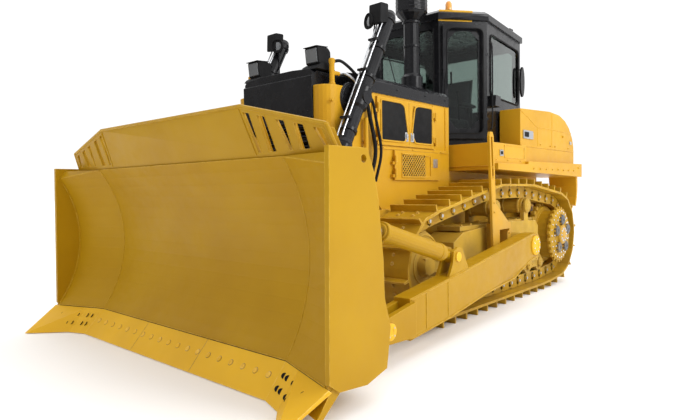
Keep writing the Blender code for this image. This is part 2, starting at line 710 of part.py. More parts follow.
def wall_block(a, b, u0, u1, z0, z1, out, depth):
    """Block in the plane of the wall from a to b: u along it, z up, from out to out - depth through it."""
    along = (b - a).normalized()
    outward = Vector((along.y, -along.x))
    corners = [a + along * u0 + outward * out, a + along * u1 + outward * out,
               a + along * u1 + outward * (out - depth), a + along * u0 + outward * (out - depth)]
    return prism([(c.x, c.y) for c in corners], "Z", z0, z1)


def window_outline(length, z0, z1, margin_front, margin_rear, low, high, notch=0.16):
    """Window with cut corners in a wall of this length, as (u, z) points."""
    return [(margin_front + notch, z0 + low), (length - margin_rear - notch, z0 + low),
            (length - margin_rear, z0 + low + notch), (length - margin_rear, z1 - high - notch),
            (length - margin_rear - notch, z1 - high), (margin_front + notch, z1 - high),
            (margin_front, z1 - high - notch), (margin_front, z0 + low + notch)]


def wall_shape(a, b, outline, out, depth):
    """Extrude an outline of (u, z) points through the wall from a to b."""
    along = (b - a).normalized()
    outward = Vector((along.y, -along.x))
    rings = []
    for level in (out, out - depth):
        base = a + outward * level
        rings.append([(base.x + along.x * u, base.y + along.y * u, z) for u, z in outline])
    return rings_solid(rings)


RING = cab_corners()
WALLS = {
    "front": (RING[0], RING[1]),
    "door_L": (RING[1], RING[2]),
    "side_L": (RING[2], RING[3]),
    "rear": (RING[3], RING[4]),
    "side_R": (RING[4], RING[5]),
    "door_R": (RING[5], RING[0]),
}
DOOR_JAMB = 0.035
DOOR_THICKNESS = 0.045
DOOR_HINGE_OUT = 0.020
DOOR_HINGE_Z = (2.55, 3.45)


def wall_length(wall):
    """Length of a cab wall in plan."""
    a, b = WALLS[wall]
    return (b - a).length


def glass_outline(wall):
    """Outline of the window of one cab wall."""
    length = wall_length(wall)
    if wall == "front":
        return window_outline(length, CAB_SILL_Z, CAB_HEAD_Z, 0.08, 0.08, 0.62, 0.06, 0.06)
    if wall == "rear":
        return window_outline(length, CAB_SILL_Z, CAB_HEAD_Z, 0.12, 0.12, 0.62, 0.08, 0.06)
    if wall.startswith("side"):
        rear_margin, front_margin = (0.10, 0.12) if wall == "side_R" else (0.12, 0.10)
        return window_outline(length, CAB_SILL_Z, CAB_HEAD_Z, rear_margin, front_margin, 0.64, 0.08, 0.10)
    return window_outline(length, CAB_SILL_Z, CAB_HEAD_Z, 0.13, 0.13, 0.16, 0.10, 0.12)


def door_pivot(side_name):
    """Point of the cab door's hinge axis in plan, outside the widest pillar."""
    a, b = WALLS["door_" + side_name]
    along = (b - a).normalized()
    outward = Vector((along.y, -along.x))
    if side_name == "L":
        return b - along * DOOR_JAMB + outward * DOOR_HINGE_OUT
    return a + along * DOOR_JAMB + outward * DOOR_HINGE_OUT


def cab_hinges(side_name):
    """Knuckles and lugs of one cab door."""
    a, b = WALLS["door_" + side_name]
    along = (a - b) if side_name == "L" else (b - a)
    point = door_pivot(side_name)
    side = 1 if side_name == "L" else -1
    return hinge_leaves(point.x, point.y, DOOR_HINGE_Z, along, side, DOOR_HINGE_OUT + 0.006)


def cab_shell():
    """Hollow cab with window and door openings in its six walls."""
    top = CAB_HEAD_Z + 0.05
    shell = prism([tuple(c) for c in cab_corners()], "Z", CAB_BASE_Z, top)
    room = prism([tuple(c) for c in cab_corners(CAB_WALL)], "Z", CAB_SILL_Z - 0.02, top + 1)
    openings = [room]
    for wall in ("front", "rear", "side_L", "side_R"):
        openings.append(wall_shape(*WALLS[wall], glass_outline(wall), 0.2, 0.4))
    for wall in ("door_L", "door_R"):
        length = wall_length(wall)
        openings.append(wall_block(*WALLS[wall], DOOR_JAMB, length - DOOR_JAMB, CAB_SILL_Z, CAB_HEAD_Z, 0.2, 0.4))
    cut(shell, *openings)
    for side_name, _ in SIDES:
        knuckles, lugs = cab_hinges(side_name)
        for knuckle in knuckles:
            bpy.data.objects.remove(knuckle, do_unlink=True)
        unite(shell, *lugs)
    return shell


def cab_roof():
    """Thick roof slab that overhangs the cab a little."""
    z0 = CAB_HEAD_Z + 0.05 + SEAT
    eave = [tuple(c) for c in cab_corners(-0.03)]
    crown = [tuple(c) for c in cab_corners(0.04)]
    z1 = z0 + ROOF_THICKNESS
    return rings_solid([[(x, y, z0) for x, y in eave], [(x, y, z1 - 0.05) for x, y in eave],
                        [(x, y, z1) for x, y in crown]])


def cab_door(side_name):
    """Door with a large window, hung on the widest pillar."""
    wall = "door_" + side_name
    length = wall_length(wall)
    leaf = wall_block(*WALLS[wall], DOOR_JAMB + PLAY, length - DOOR_JAMB - PLAY, CAB_SILL_Z + PLAY,
                      CAB_HEAD_Z - PLAY, 0, DOOR_THICKNESS)
    cut(leaf, wall_shape(*WALLS[wall], glass_outline(wall), 0.2, 0.4))
    knuckles, lugs = cab_hinges(side_name)
    for lug in lugs:
        bpy.data.objects.remove(lug, do_unlink=True)
    return unite(leaf, *knuckles)


def shrink(outline, gap):
    """Move each point of a convex outline toward the middle so that its edges keep a gap."""
    middle = sum((Vector(p) for p in outline), Vector((0, 0))) / len(outline)
    moved = []
    for i, point in enumerate(outline):
        here = Vector(point)
        before = (here - Vector(outline[i - 1])).normalized()
        after = (Vector(outline[(i + 1) % len(outline)]) - here).normalized()
        n1 = Vector((-before.y, before.x))
        n2 = Vector((-after.y, after.x))
        if n1.dot(middle - here) < 0:
            n1, n2 = -n1, -n2
        moved.append(tuple(here + (n1 + n2) * (gap / (1 + n1.dot(n2)))))
    return moved


def window_pane(wall):
    """Pane that fills the window of one wall or door."""
    return wall_shape(*WALLS[wall], shrink(glass_outline(wall), SEAT), -0.012, 0.008)


def seat():
    """Operator seat: base, cushion, back and arm pads."""
    floor = CAB_SILL_Z - 0.02 + SEAT
    base = box(-0.20, 0.20, -1.45, -1.00, floor, floor + 0.28)
    cushion = box(-0.27, 0.27, -1.55, -0.98, floor + 0.26, floor + 0.44)
    back = prism([(-1.06, floor + 0.40), (-0.94, floor + 0.40), (-0.84, floor + 1.10), (-0.94, floor + 1.10)],
                 "X", -0.25, 0.25)
    arms = [box(x - 0.05, x + 0.05, -1.45, -0.96, floor + 0.30, floor + 0.68) for x in (-0.30, 0.30)]
    return unite(base, cushion, back, *arms)


def console():
    """Instrument column at the front of the cab."""
    floor = CAB_SILL_Z - 0.02 + SEAT
    front = CAB_A[1] + CAB_WALL + 0.03
    return prism([(front, floor), (front + 0.22, floor), (front + 0.20, floor + 0.55), (front + 0.30, floor + 0.75),
                  (front + 0.26, floor + 0.86), (front, floor + 0.86)], "X", -0.28, 0.28)


# ---------------------------------------------------------------- fenders, tank, rear
def fender(side):
    """Platform over the track: edge beam, battery box, deck below the tank, and rear mudguard."""
    inner = CASE_HALF_WIDTH + SEAT
    low, high = FENDER_BEAM_Z
    beam = prism([(FENDER_FRONT_Y + 0.02, low + 0.07), (FENDER_REAR_Y, low), (FENDER_REAR_Y, high + 0.02),
                  (TANK_FRONT_Y, high), (TANK_FRONT_Y, high - 0.04), (FENDER_FRONT_Y + 0.02, high - 0.05)],
                 "X", inner, FENDER_OUTER_X)
    battery_box = box(inner, BATTERY_BOX_X, FENDER_FRONT_Y, TANK_FRONT_Y + 0.03, high - 0.08, PLATFORM_Z)
    deck = box(inner, TANK_HALF_WIDTH, TANK_FRONT_Y, TANK_REAR_Y, high - 0.08, PLATFORM_Z)
    rear = FENDER_REAR_Y - 0.08
    flap = prism([(rear - 0.09, high - 0.1), (rear, high - 0.1), (rear + 0.02, 1.55), (rear, 1.34), (rear - 0.06, 1.20),
                  (rear - 0.10, 1.22), (rear - 0.05, 1.36), (rear - 0.04, 1.55)], "X", 0.90, FENDER_OUTER_X - 0.05)
    return flip_side(unite(beam, battery_box, deck, flap), side)


def fuel_tank():
    """Fuel tank round the back of the cab, with a rounded rear and a filler cap."""
    z0 = PLATFORM_Z + SEAT
    top, rear = TANK_TOP_Z, TANK_REAR_Y
    side_view = [(TANK_FRONT_Y, z0), (TANK_FRONT_Y, top - 0.06), (rear - 1.10, top), (rear - 0.68, top - 0.02),
                 (rear - 0.42, top - 0.09), (rear - 0.22, top - 0.20), (rear - 0.07, top - 0.36),
                 (rear - 0.01, top - 0.50), (rear, top - 0.62), (rear, z0)]
    tank = prism(side_view, "X", -TANK_HALF_WIDTH, TANK_HALF_WIDTH)
    notch = prism([tuple(c) for c in cab_corners(-TANK_CAB_GAP)], "Z", z0 - 1, top + 1)
    neck_y = rear - 0.55
    neck = rod((0.85, neck_y, top - 0.20), (0.85, neck_y, top + 0.02), 0.08)
    return unite(cut(tank, notch), neck)


def rear_plate():
    """Rear plate with a drawbar."""
    y = HULL_REAR_Y + SEAT
    plate = box(-0.62, 0.62, y, y + 0.09, 0.60, 1.16)
    bar = box(-0.16, 0.16, y + 0.05, y + 0.34, 0.70, 0.80)
    upper = box(-0.16, 0.16, y + 0.05, y + 0.34, 0.90, 1.00)
    hole = rod((0, y + 0.24, 0.60), (0, y + 0.24, 1.10), 0.045, 16)
    return cut(unite(plate, bar, upper), hole)


# ---------------------------------------------------------------- push arms and braces
ARM_FRONT_SHIFT = ARM_SPLAY * (TRUNNION_Y - ARM_PIN_Y)
ARM_CENTRE_X = ARM_INNER_X + ARM_WIDTH / 2
LUG_X = ARM_CENTRE_X + ARM_FRONT_SHIFT
LUG_HALF = 0.05
BRACE_X = ARM_CENTRE_X + ARM_SPLAY * (TRUNNION_Y - BRACKET_Y)


def push_arm(side):
    """Box-section arm from the track-frame trunnion to the blade, with its fork and brace bracket."""
    outline = [(-4.98, 0.17), (-4.25, 0.23), (-3.40, 0.34), (-2.60, 0.40), (-2.05, 0.57), (-1.80, 0.60),
               (-1.72, 0.68), (-1.72, 0.84), (-1.80, 0.92), (-2.00, 0.92), (-4.98, 0.55)]
    beam = prism(outline, "X", ARM_INNER_X, ARM_INNER_X + ARM_WIDTH)
    shear_x(beam, ARM_SPLAY, TRUNNION_Y)
    bore = x_bore(TRUNNION_Y, TRUNNION_Z, ARM_INNER_X - 0.1, ARM_INNER_X + ARM_WIDTH - 0.04 + PLAY, TRUNNION_RADIUS)
    cut(beam, bore)
    fork = []
    for sign in (-1, 1):
        x0 = LUG_X + sign * (LUG_HALF + PLAY)
        x1 = LUG_X + sign * (LUG_HALF + PLAY + 0.055)
        fork.append(prism([(-4.93, 0.20), (ARM_PIN_Y, 0.22), (ARM_PIN_Y - 0.08, 0.26), (ARM_PIN_Y - 0.11, 0.33),
                           (ARM_PIN_Y - 0.08, 0.41), (ARM_PIN_Y, 0.45), (-4.93, 0.52)], "X", min(x0, x1), max(x0, x1)))
    pin = x_rod(ARM_PIN_Y, ARM_PIN_Z, LUG_X - LUG_HALF - 0.05, LUG_X + LUG_HALF + 0.05, ARM_PIN_RADIUS)
    bracket = []
    for sign in (-1, 1):
        x0 = BRACE_X + sign * (0.045 + PLAY)
        x1 = BRACE_X + sign * (0.045 + PLAY + 0.03)
        bracket.append(prism([(BRACKET_Y - 0.20, 0.60), (BRACKET_Y + 0.24, 0.64), (BRACKET_Y + 0.09, BRACKET_Z + 0.08),
                              (BRACKET_Y, BRACKET_Z + 0.10), (BRACKET_Y - 0.08, BRACKET_Z + 0.06),
                              (BRACKET_Y - 0.10, BRACKET_Z - 0.05)], "X", min(x0, x1), max(x0, x1)))
    bracket.append(x_rod(BRACKET_Y, BRACKET_Z, BRACE_X - 0.06, BRACE_X + 0.06, BRACE_PIN_RADIUS))
    return flip_side(unite(beam, *fork, pin, *bracket), side)


def brace_direction():
    """Unit direction, in Y and Z, from the arm's bracket pin to the blade's upper eye."""
    return (Vector((BRACE_EYE_Y, BRACE_EYE_Z)) - Vector((BRACKET_Y, BRACKET_Z))).normalized()


def brace_barrel(side, radius, length):
    """Tube of a brace or tilt cylinder, hung on the arm's bracket pin."""
    d = brace_direction()
    start = Vector((BRACE_X, BRACKET_Y, BRACKET_Z))
    end = start + Vector((0, d.x, d.y))
    bore = 0.058
    profile = [(0.13, 0), (0.13, 0.045), (0.21, radius), (length - 0.03, radius), (length, radius - 0.02),
               (length, 0.046), (length - 0.08, 0.046), (length - 0.08, bore), (0.42, bore), (0.42, 0)]
    tube = turned(start, end, profile, 20)
    eye = x_rod(BRACKET_Y, BRACKET_Z, BRACE_X - 0.045, BRACE_X + 0.045, 0.075, 20)
    neck = rod(start, start + Vector((0, d.x, d.y)) * 0.16, 0.042, 12)
    bore_tool = x_bore(BRACKET_Y, BRACKET_Z, BRACE_X - 0.2, BRACE_X + 0.2, BRACE_PIN_RADIUS)
    return flip_side(cut(unite(tube, neck, eye), bore_tool), side)


def brace_rod(side, barrel_length):
    """Rod of a brace or tilt cylinder, with the eye that meets the blade."""
    d = brace_direction()
    start = Vector((BRACE_X, BRACKET_Y, BRACKET_Z))
    reach = (Vector((BRACE_EYE_Y, BRACE_EYE_Z)) - Vector((BRACKET_Y, BRACKET_Z))).length
    inside = barrel_length - 0.42
    radius = 0.046 - SEAT
    profile = [(inside, 0), (inside, 0.058 - SEAT), (inside + 0.06, 0.058 - SEAT), (inside + 0.06, radius),
               (reach - 0.04, radius), (reach - 0.04, 0)]
    shaft = turned(start, start + Vector((0, d.x, d.y)), profile, 20)
    eye = x_rod(BRACE_EYE_Y, BRACE_EYE_Z, BRACE_X - 0.045, BRACE_X + 0.045, 0.075, 20)
    return flip_side(unite(shaft, eye), side)


# ---------------------------------------------------------------- lift cylinders
def lift_axis():
    """Unit direction, in Y and Z, from the rod's eye up to the trunnion."""
    return (LIFT_TRUNNION - LIFT_EYE).normalized()


def lift_barrel(side):
    """Barrel that swings on the bearing at the radiator guard, bored for its rod."""
    d = lift_axis()
    centre = Vector((LIFT_X, *LIFT_TRUNNION))
    start = centre - Vector((0, d.x, d.y)) * LIFT_BELOW
    total = LIFT_BELOW + LIFT_ABOVE
    r = LIFT_BARREL_RADIUS
    gland = 0.10
    cap = 0.08
    barrel = turned(start, centre, [(total - cap, 0), (total - cap, LIFT_BORE_RADIUS), (gland, LIFT_BORE_RADIUS),
                                    (gland, LIFT_ROD_RADIUS + SEAT), (0, LIFT_ROD_RADIUS + SEAT), (0, r),
                                    (0.08, r + 0.012), (0.12, r), (total - 0.05, r), (total, r - 0.02), (total, 0)])
    wall = (r + LIFT_BORE_RADIUS) / 2
    stubs = [x_rod(*LIFT_TRUNNION, BEARING_FACE_X + PLAY, LIFT_X - wall, LIFT_STUB_RADIUS),
             x_rod(*LIFT_TRUNNION, LIFT_X + wall, LIFT_X + 0.11, LIFT_STUB_RADIUS)]
    pocket = x_bore(*LIFT_TRUNNION, BEARING_FACE_X, BEARING_FACE_X + BEARING_PIN_LENGTH + PLAY, BEARING_PIN_RADIUS)
    return flip_side(cut(unite(barrel, *stubs), pocket), side)


def lift_rod(side):
    """Rod and piston of a lift cylinder, with the eye that meets the blade."""
    d = lift_axis()
    eye_centre = Vector((LIFT_X, *LIFT_EYE))
    reach = (LIFT_TRUNNION - LIFT_EYE).length
    piston = reach + 0.02
    profile = [(0.03, 0), (0.03, LIFT_ROD_RADIUS), (piston, LIFT_ROD_RADIUS), (piston, LIFT_BORE_RADIUS - SEAT),
               (piston + 0.10, LIFT_BORE_RADIUS - SEAT), (piston + 0.10, 0)]
    shaft = turned(eye_centre, eye_centre + Vector((0, d.x, d.y)), profile)
    eye = x_rod(*LIFT_EYE, LIFT_X - 0.05, LIFT_X + 0.05, 0.085)
    return flip_side(unite(shaft, eye), side)


# ---------------------------------------------------------------- blade
EDGE_ALONG = (EDGE_BOTTOM - EDGE_TOP).normalized()
EDGE_BACK = Vector((-EDGE_ALONG.y, EDGE_ALONG.x))
EDGE_THICKNESS = 0.04
EDGE_LENGTH = (EDGE_BOTTOM - EDGE_TOP).length


def edge_point(s, t):
    """Point s down the cutting edge from its top and t behind its front face, in Y and Z."""
    return EDGE_TOP + EDGE_ALONG * s + EDGE_BACK * t


def blade_arc():
    """Centre and radius of the mouldboard's curve, in Y and Z, through its foot, depth and head."""
    half = (BLADE_TOP_Z - EDGE_TOP.y) / 2
    depth = BLADE_DEPTH_Y - EDGE_TOP.x
    radius = (half * half + depth * depth) / (2 * depth)
    return Vector((BLADE_DEPTH_Y - radius, EDGE_TOP.y + half)), radius, math.asin(half / radius)


def arc_points(extra, steps=14):
    """Points up the mouldboard's curve, extra behind its front face."""
    centre, radius, half_angle = blade_arc()
    points = []
    for i in range(steps + 1):
        angle = -half_angle + 2 * half_angle * i / steps
        points.append(centre + Vector((math.cos(angle), math.sin(angle))) * (radius + extra))
    return points


def arc_at(z, extra):
    """Point on the mouldboard's curve at height z, extra behind its front face."""
    centre, radius, _ = blade_arc()
    return (centre.x + math.sqrt((radius + extra) ** 2 - (z - centre.y) ** 2), z)


def wing_shift(x):
    """How far forward the wings stand at x."""
    return min(0.0, (SEAM_X - abs(x)) * WING_SLOPE)


def winged(outline, tip_outline=None):
    """Sweep a (Y, Z) outline across the blade, straight in the middle and forward on both wings.

    The outline may change along the wings to a tip outline of as many points.
    """
    stations = ((-WING_X, tip_outline or outline), (-SEAM_X, outline), (SEAM_X, outline), (WING_X, tip_outline or outline))
    return rings_solid([[(x, y + wing_shift(x), z) for y, z in shape] for x, shape in stations])


def blade():
    """Mouldboard with its stiffening boxes, side plates and lugs."""
    foot_gap = 0.004
    front = [tuple(p) for p in arc_points(0)]
    back = [tuple(p) for p in arc_points(BLADE_PLATE)]
    front[0] = (front[0][0], front[0][1] + foot_gap)
    back[0] = (back[0][0], back[0][1] + foot_gap)
    top_box = [(HEAD_REAR_Y, BLADE_TOP_Z), (HEAD_REAR_Y, BLADE_TOP_Z - 0.05), (-5.92, 1.62), (-5.86, 1.36)]
    back = [point for point in back if point[1] < 1.30]
    body = winged(front + [(EDGE_TOP.x + 0.05, BLADE_TOP_Z)] + top_box + back[::-1],
                  front[:-1] + [arc_at(WING_TIP_Z, 0), (WING_HEAD_Y, BLADE_TOP_Z)] + top_box + back[::-1])
    lip_outline = [edge_point(0.004, EDGE_THICKNESS + SEAT), edge_point(0.20, EDGE_THICKNESS + SEAT),
                   edge_point(0.17, 0.09), edge_point(-0.10, 0.14), edge_point(-0.10, 0.045)]
    lip = winged([tuple(p) for p in lip_outline])
    inside = BLADE_PLATE / 2
    low_box = winged([arc_at(0.30, inside), (-6.10, 0.22), (-5.72, 0.22), (-5.66, 0.30), (-5.66, 0.56),
                      (-5.78, 0.66), arc_at(0.66, inside), arc_at(0.48, inside)])
    pieces = [lip, low_box]
    side_outline = [(-6.43, 1.82), (-6.04, 1.82), (-5.97, 1.66), (-5.92, 1.46), (-5.87, 1.03), (-5.86, 0.75),
                    (-5.79, 0.52), (-5.84, 0.23), (-6.07, 0.17), (-6.36, 0.20), (-6.455, 0.27)]
    for _, side in SIDES:
        x0, x1 = sorted((side * (WING_X - SIDE_PLATE / 2), side * (WING_X + SIDE_PLATE / 2)))
        plate = prism(side_outline, "X", x0, x1)
        hole = x_rod(-6.08, 1.745, x0 - 0.1, x1 + 0.1, 0.03, 12)
        pieces.append(cut(plate, hole))
        lug = [(-5.72, 0.20), (-5.72, 0.52), (-5.42, 0.46), (ARM_PIN_Y, 0.44), (ARM_PIN_Y + 0.09, 0.39),
               (ARM_PIN_Y + 0.115, 0.33), (ARM_PIN_Y + 0.09, 0.26), (ARM_PIN_Y, 0.22), (-5.50, 0.20)]
        arm_lug = prism(lug, "X", side * LUG_X - LUG_HALF, side * LUG_X + LUG_HALF)
        bore = x_bore(ARM_PIN_Y, ARM_PIN_Z, side * LUG_X - 0.2, side * LUG_X + 0.2, ARM_PIN_RADIUS)
        pieces.append(cut(arm_lug, bore))
        for sign in (-1, 1):
            x0, x1 = sorted((side * BRACE_X + sign * (0.045 + PLAY), side * BRACE_X + sign * (0.045 + PLAY + 0.03)))
            shift = wing_shift((x0 + x1) / 2)
            roots = [(y + shift, z) for y, z in (arc_at(1.12, inside), arc_at(1.50, inside))]
            pieces.append(prism([roots[0], (BRACE_EYE_Y, BRACE_EYE_Z - 0.10), (BRACE_EYE_Y + 0.09, BRACE_EYE_Z - 0.04),
                                 (BRACE_EYE_Y + 0.09, BRACE_EYE_Z + 0.04), (BRACE_EYE_Y, BRACE_EYE_Z + 0.10),
                                 roots[1]], "X", x0, x1))
            x0, x1 = sorted((side * LIFT_X + sign * (0.05 + PLAY), side * LIFT_X + sign * (0.05 + PLAY + 0.035)))
            y, z = LIFT_EYE
            pieces.append(prism([(-5.93, z - 0.26), (y - 0.02, z - 0.11), (y + 0.08, z - 0.06), (y + 0.10, z),
                                 (y + 0.08, z + 0.06), (y - 0.02, z + 0.11), (-5.93, z + 0.26)], "X", x0, x1))
    return unite(body, *pieces)


def cutting_edge():
    """Bolt-on edge across the middle of the blade."""
    ground = EDGE_BOTTOM.y
    heel = EDGE_BOTTOM.x + EDGE_THICKNESS / -EDGE_ALONG.y
    outline = [tuple(EDGE_TOP), tuple(EDGE_BOTTOM), (heel, ground), tuple(edge_point(0, EDGE_THICKNESS))]
    return prism(outline, "X", -SEAM_X + SEAT, SEAM_X - SEAT)


def end_bit(side):
    """Bolt-on edge of one wing, whose toe runs forward of the blade."""
    ground = EDGE_BOTTOM.y
    heel = EDGE_THICKNESS / -EDGE_ALONG.y
    upper_back = edge_point(0, EDGE_THICKNESS)
    straight_x = 1.72
    rings = []
    for top_x, foot_x, foot_y in ((SEAM_X + SEAT, SEAM_X + SEAT, EDGE_BOTTOM.x),
                                  (straight_x, straight_x, EDGE_BOTTOM.x + wing_shift(straight_x)),
                                  (BIT_TOP_X, BIT_TOE.x, BIT_TOE.y)):
        shift = wing_shift(top_x)
        rings.append([(top_x, EDGE_TOP.x + shift, EDGE_TOP.y), (foot_x, foot_y, ground), (foot_x, foot_y + heel, ground),
                      (top_x, upper_back.x + shift, upper_back.y)])
    return flip_side(rings_solid(rings), side)


def spill_guard():
    """Leaning guard on the blade: plate in the middle and slats with see-through gaps at its ends."""
    z0, z1 = BLADE_TOP_Z + SEAT, 2.185
    z_end = 1.985
    x_top, x_end = 1.152, 1.99
    thickness = 0.03
    rail = 0.04
    lean = (6.349 - 6.20) / (z1 - z0)
    fall = (z1 - z_end) / (x_end - x_top)

    def leaned(outline, low, high):
        item = prism(outline, "Y", low, high)
        for vertex in item.data.vertices:
            vertex.co.y -= lean * (vertex.co.z - z0)
        return item

    def head(x):
        return z1 - rail - fall * (x - x_top)

    y0 = -6.20
    outline = [(-2.03, z0), (2.03, z0), (x_end, z_end), (x_top, z1), (-x_top, z1), (-x_end, z_end)]
    plate = leaned(outline, y0, y0 + thickness)
    low = z0 + rail
    gaps = ((1.177, 1.245, 1.222, 1.257), (1.328, 1.406, 1.347, 1.430), (1.518, 1.600, 1.580, 1.606),
            (1.693, 1.780, 1.693, 1.790), (1.874, 1.945, 1.931, 1.973))
    slots = []
    for _, side in SIDES:
        for top_in, top_out, foot_in, foot_out in gaps:
            quad = [(side * foot_in, low), (side * foot_out, low), (side * top_out, head(top_out)),
                    (side * top_in, head(top_in))]
            slots.append(leaned(quad, y0 - 0.2, y0 + 0.2))
    return cut(plate, *slots)


# ---------------------------------------------------------------- assembly
def assemble():
    """Make every piece and hang the moving ones on their pivots."""
    pivot("lift", (0, TRUNNION_Y, TRUNNION_Z))
    pivot("pitch", (0, ARM_PIN_Y, ARM_PIN_Z), "lift")
    place(main_frame(), "main_frame", "yellow")
    place(engine_block(), "engine_block", "grey")
    place(radiator_guard(), "radiator_guard", "yellow")
    place(front_grille(), "front_grille", "black")
    place(engine_frame(), "engine_frame", "yellow")
    place(hood_top(), "hood_top", "black")
    place(air_stack(), "air_stack", "black")
    place(cab_shell(), "cab_shell", "black")
    place(cab_roof(), "cab_roof", "black")
    place(window_pane("front"), "front_window", "glass")
    place(window_pane("rear"), "rear_window", "glass")
    place(seat(), "seat", "rubber")
    place(console(), "console", "black")
    place(fuel_tank(), "fuel_tank", "yellow")
    place(rear_plate(), "rear_plate", "yellow")
    place(blade(), "blade", "yellow", "pitch")
    place(cutting_edge(), "cutting_edge", "steel", "pitch")
    place(spill_guard(), "spill_guard", "yellow", "pitch")
    for name, side in SIDES:
        place(track(side), "track_" + name, "track")
        place(track_frame(side), "track_frame_" + name, "worn_yellow")
        place(idler(side), "idler_" + name, "worn_yellow")
        place(final_drive(side), "final_drive_" + name, "grey")
        place(step_post(side), "step_post_" + name, "yellow")
        place(fender(side), "fender_" + name, "yellow")
        place(window_pane("side_" + name), "side_window_" + name, "glass")
        hinge = door_pivot(name)
        pivot("cab_door_" + name, (hinge.x, hinge.y, CAB_SILL_Z))
        place(cab_door(name), "cab_door_" + name, "black", "cab_door_" + name)
        place(window_pane("door_" + name), "cab_door_glass_" + name, "glass", "cab_door_" + name)
        for kind, (y_hinge, heights, _) in HOOD_HINGES.items():
            pivot(kind + "_" + name, (side * HINGE_X, y_hinge, heights[0]))
            place(hood_door(kind, side), kind + "_" + name, "yellow", kind + "_" + name)
        place(push_arm(side), "push_arm_" + name, "yellow", "lift")
        place(end_bit(side), "end_bit_" + name, "steel", "pitch")
        place(lift_bearing(side), "lift_bearing_" + name, "black")
        pivot("lift_barrel_" + name, (side * LIFT_X, *LIFT_TRUNNION))
        place(lift_barrel(side), "lift_barrel_" + name, "black", "lift_barrel_" + name)
        place(lift_rod(side), "lift_rod_" + name, "steel", "lift_barrel_" + name)
        pivot("brace_" + name, (side * BRACE_X, BRACKET_Y, BRACKET_Z), "lift")
    brace_length, tilt_length = 1.25, 1.12
    place(brace_barrel(1, 0.085, brace_length), "brace_tube", "yellow", "brace_L")
    place(brace_rod(1, brace_length), "brace_screw", "steel", "brace_L")
    place(brace_barrel(-1, 0.105, tilt_length), "tilt_barrel", "black", "brace_R")
    place(brace_rod(-1, tilt_length), "tilt_rod", "steel", "brace_R")


def centre_on_origin():
    """Move the machine so that the middle of its overall box is at Y = 0."""
    bpy.context.view_layer.update()
    places = [item.matrix_world @ vertex.co for item in bpy.data.objects if item.type == "MESH"
              for vertex in item.data.vertices]
    ys = [place.y for place in places]
    machine.location = (0, -(min(ys) + max(ys)) / 2, 0)
    bpy.context.view_layer.update()


assemble()
centre_on_origin()
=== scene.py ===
"""Looks of the crawler bulldozer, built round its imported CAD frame.

Places are written from the CAD's own datum line behind the sprocket (+X is the machine's left, it faces -Y),
and every piece is moved by DATUM_Y into the row frame.
"""

import json
import math

import bmesh
import bpy
from mathutils import Matrix, Vector
from mathutils.geometry import convex_hull_2d


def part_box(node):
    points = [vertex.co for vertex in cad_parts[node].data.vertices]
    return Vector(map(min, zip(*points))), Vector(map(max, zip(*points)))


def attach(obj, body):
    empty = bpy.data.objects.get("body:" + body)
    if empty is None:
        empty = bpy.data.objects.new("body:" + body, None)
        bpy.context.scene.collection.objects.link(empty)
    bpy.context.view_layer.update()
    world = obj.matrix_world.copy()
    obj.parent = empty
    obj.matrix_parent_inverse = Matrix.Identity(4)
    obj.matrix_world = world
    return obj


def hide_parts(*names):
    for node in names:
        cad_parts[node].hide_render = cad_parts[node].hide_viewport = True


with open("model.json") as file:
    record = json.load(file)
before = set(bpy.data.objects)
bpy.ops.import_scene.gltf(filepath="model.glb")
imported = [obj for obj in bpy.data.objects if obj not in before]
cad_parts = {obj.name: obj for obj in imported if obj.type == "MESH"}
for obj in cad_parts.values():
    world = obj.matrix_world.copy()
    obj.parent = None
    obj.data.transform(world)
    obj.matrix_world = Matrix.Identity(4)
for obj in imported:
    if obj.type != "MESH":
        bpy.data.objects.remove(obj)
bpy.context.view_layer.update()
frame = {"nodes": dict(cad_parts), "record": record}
NODES = frame["nodes"]
SIDES = (("L", 1), ("R", -1))

# ------------------------------------------------------------ places taken from the frame
SPROCKET = Vector((0.0, -0.28, 0.78))
drive_low, drive_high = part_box("final_drive_L")
DATUM_Y = (drive_low.y + drive_high.y) / 2 - SPROCKET.y


def node_box(name):
    """Lowest and highest corner of a CAD node, measured from the datum line."""
    low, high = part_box(name)
    shift = Vector((0, DATUM_Y, 0))
    return low - shift, high - shift


TRACK_LOW, TRACK_HIGH = node_box("track_L")
TRACK_X = (TRACK_LOW.x + TRACK_HIGH.x) / 2
GUARD_HIGH = node_box("radiator_guard")[1]
HOOD_HIGH = node_box("hood_top")[1]
GRILLE_LOW, GRILLE_HIGH = node_box("front_grille")
ROOF_HIGH = node_box("cab_roof")[1]
TANK_HIGH = node_box("fuel_tank")[1]
FENDER_HIGH = node_box("fender_L")[1]
STACK_LOW, STACK_HIGH = node_box("air_stack")
POST_HIGH = node_box("step_post_L")[1]
BEARING_HIGH = node_box("lift_bearing_L")[1]
STACK_X = (STACK_LOW.x + STACK_HIGH.x) / 2
STACK_Y = (STACK_LOW.y + STACK_HIGH.y) / 2

SPROCKET_RADIUS, TRACK_PITCH = 0.54, 0.26
IDLER_Y, IDLER_Z, IDLER_RADIUS = -3.905, 0.68, 0.48
CARRIERS_Y, CARRIER_Z = (-2.36, -1.36), 1.27
ROLLERS_Y, ROLLER_Z, ROLLER_COUNT = (-3.30, -0.82), 0.3953, 7
CAB_A, CAB_B, CAB_C = Vector((0.55, -2.44)), Vector((1.00, -1.90)), Vector((0.85, -0.45))
LIFT_X = 0.87
LIFT_EYE, LIFT_TRUNNION = Vector((-5.42, 0.87)), Vector((-4.54, 2.49))
LIFT_RADIUS, LIFT_ABOVE = 0.08, 1.15
ARM_PIN, ARM_TRUNNION = Vector((-5.33, 0.33)), Vector((-1.90, 0.76))
ARM_OUTER_X, ARM_SPLAY = 1.68, 0.034
SEAM_X, WING_X, WING_SLOPE = 1.50, 2.15, math.tan(math.radians(20))
EDGE_TOP, EDGE_BOTTOM = Vector((-6.219, 0.244)), Vector((-6.432, 0.004))
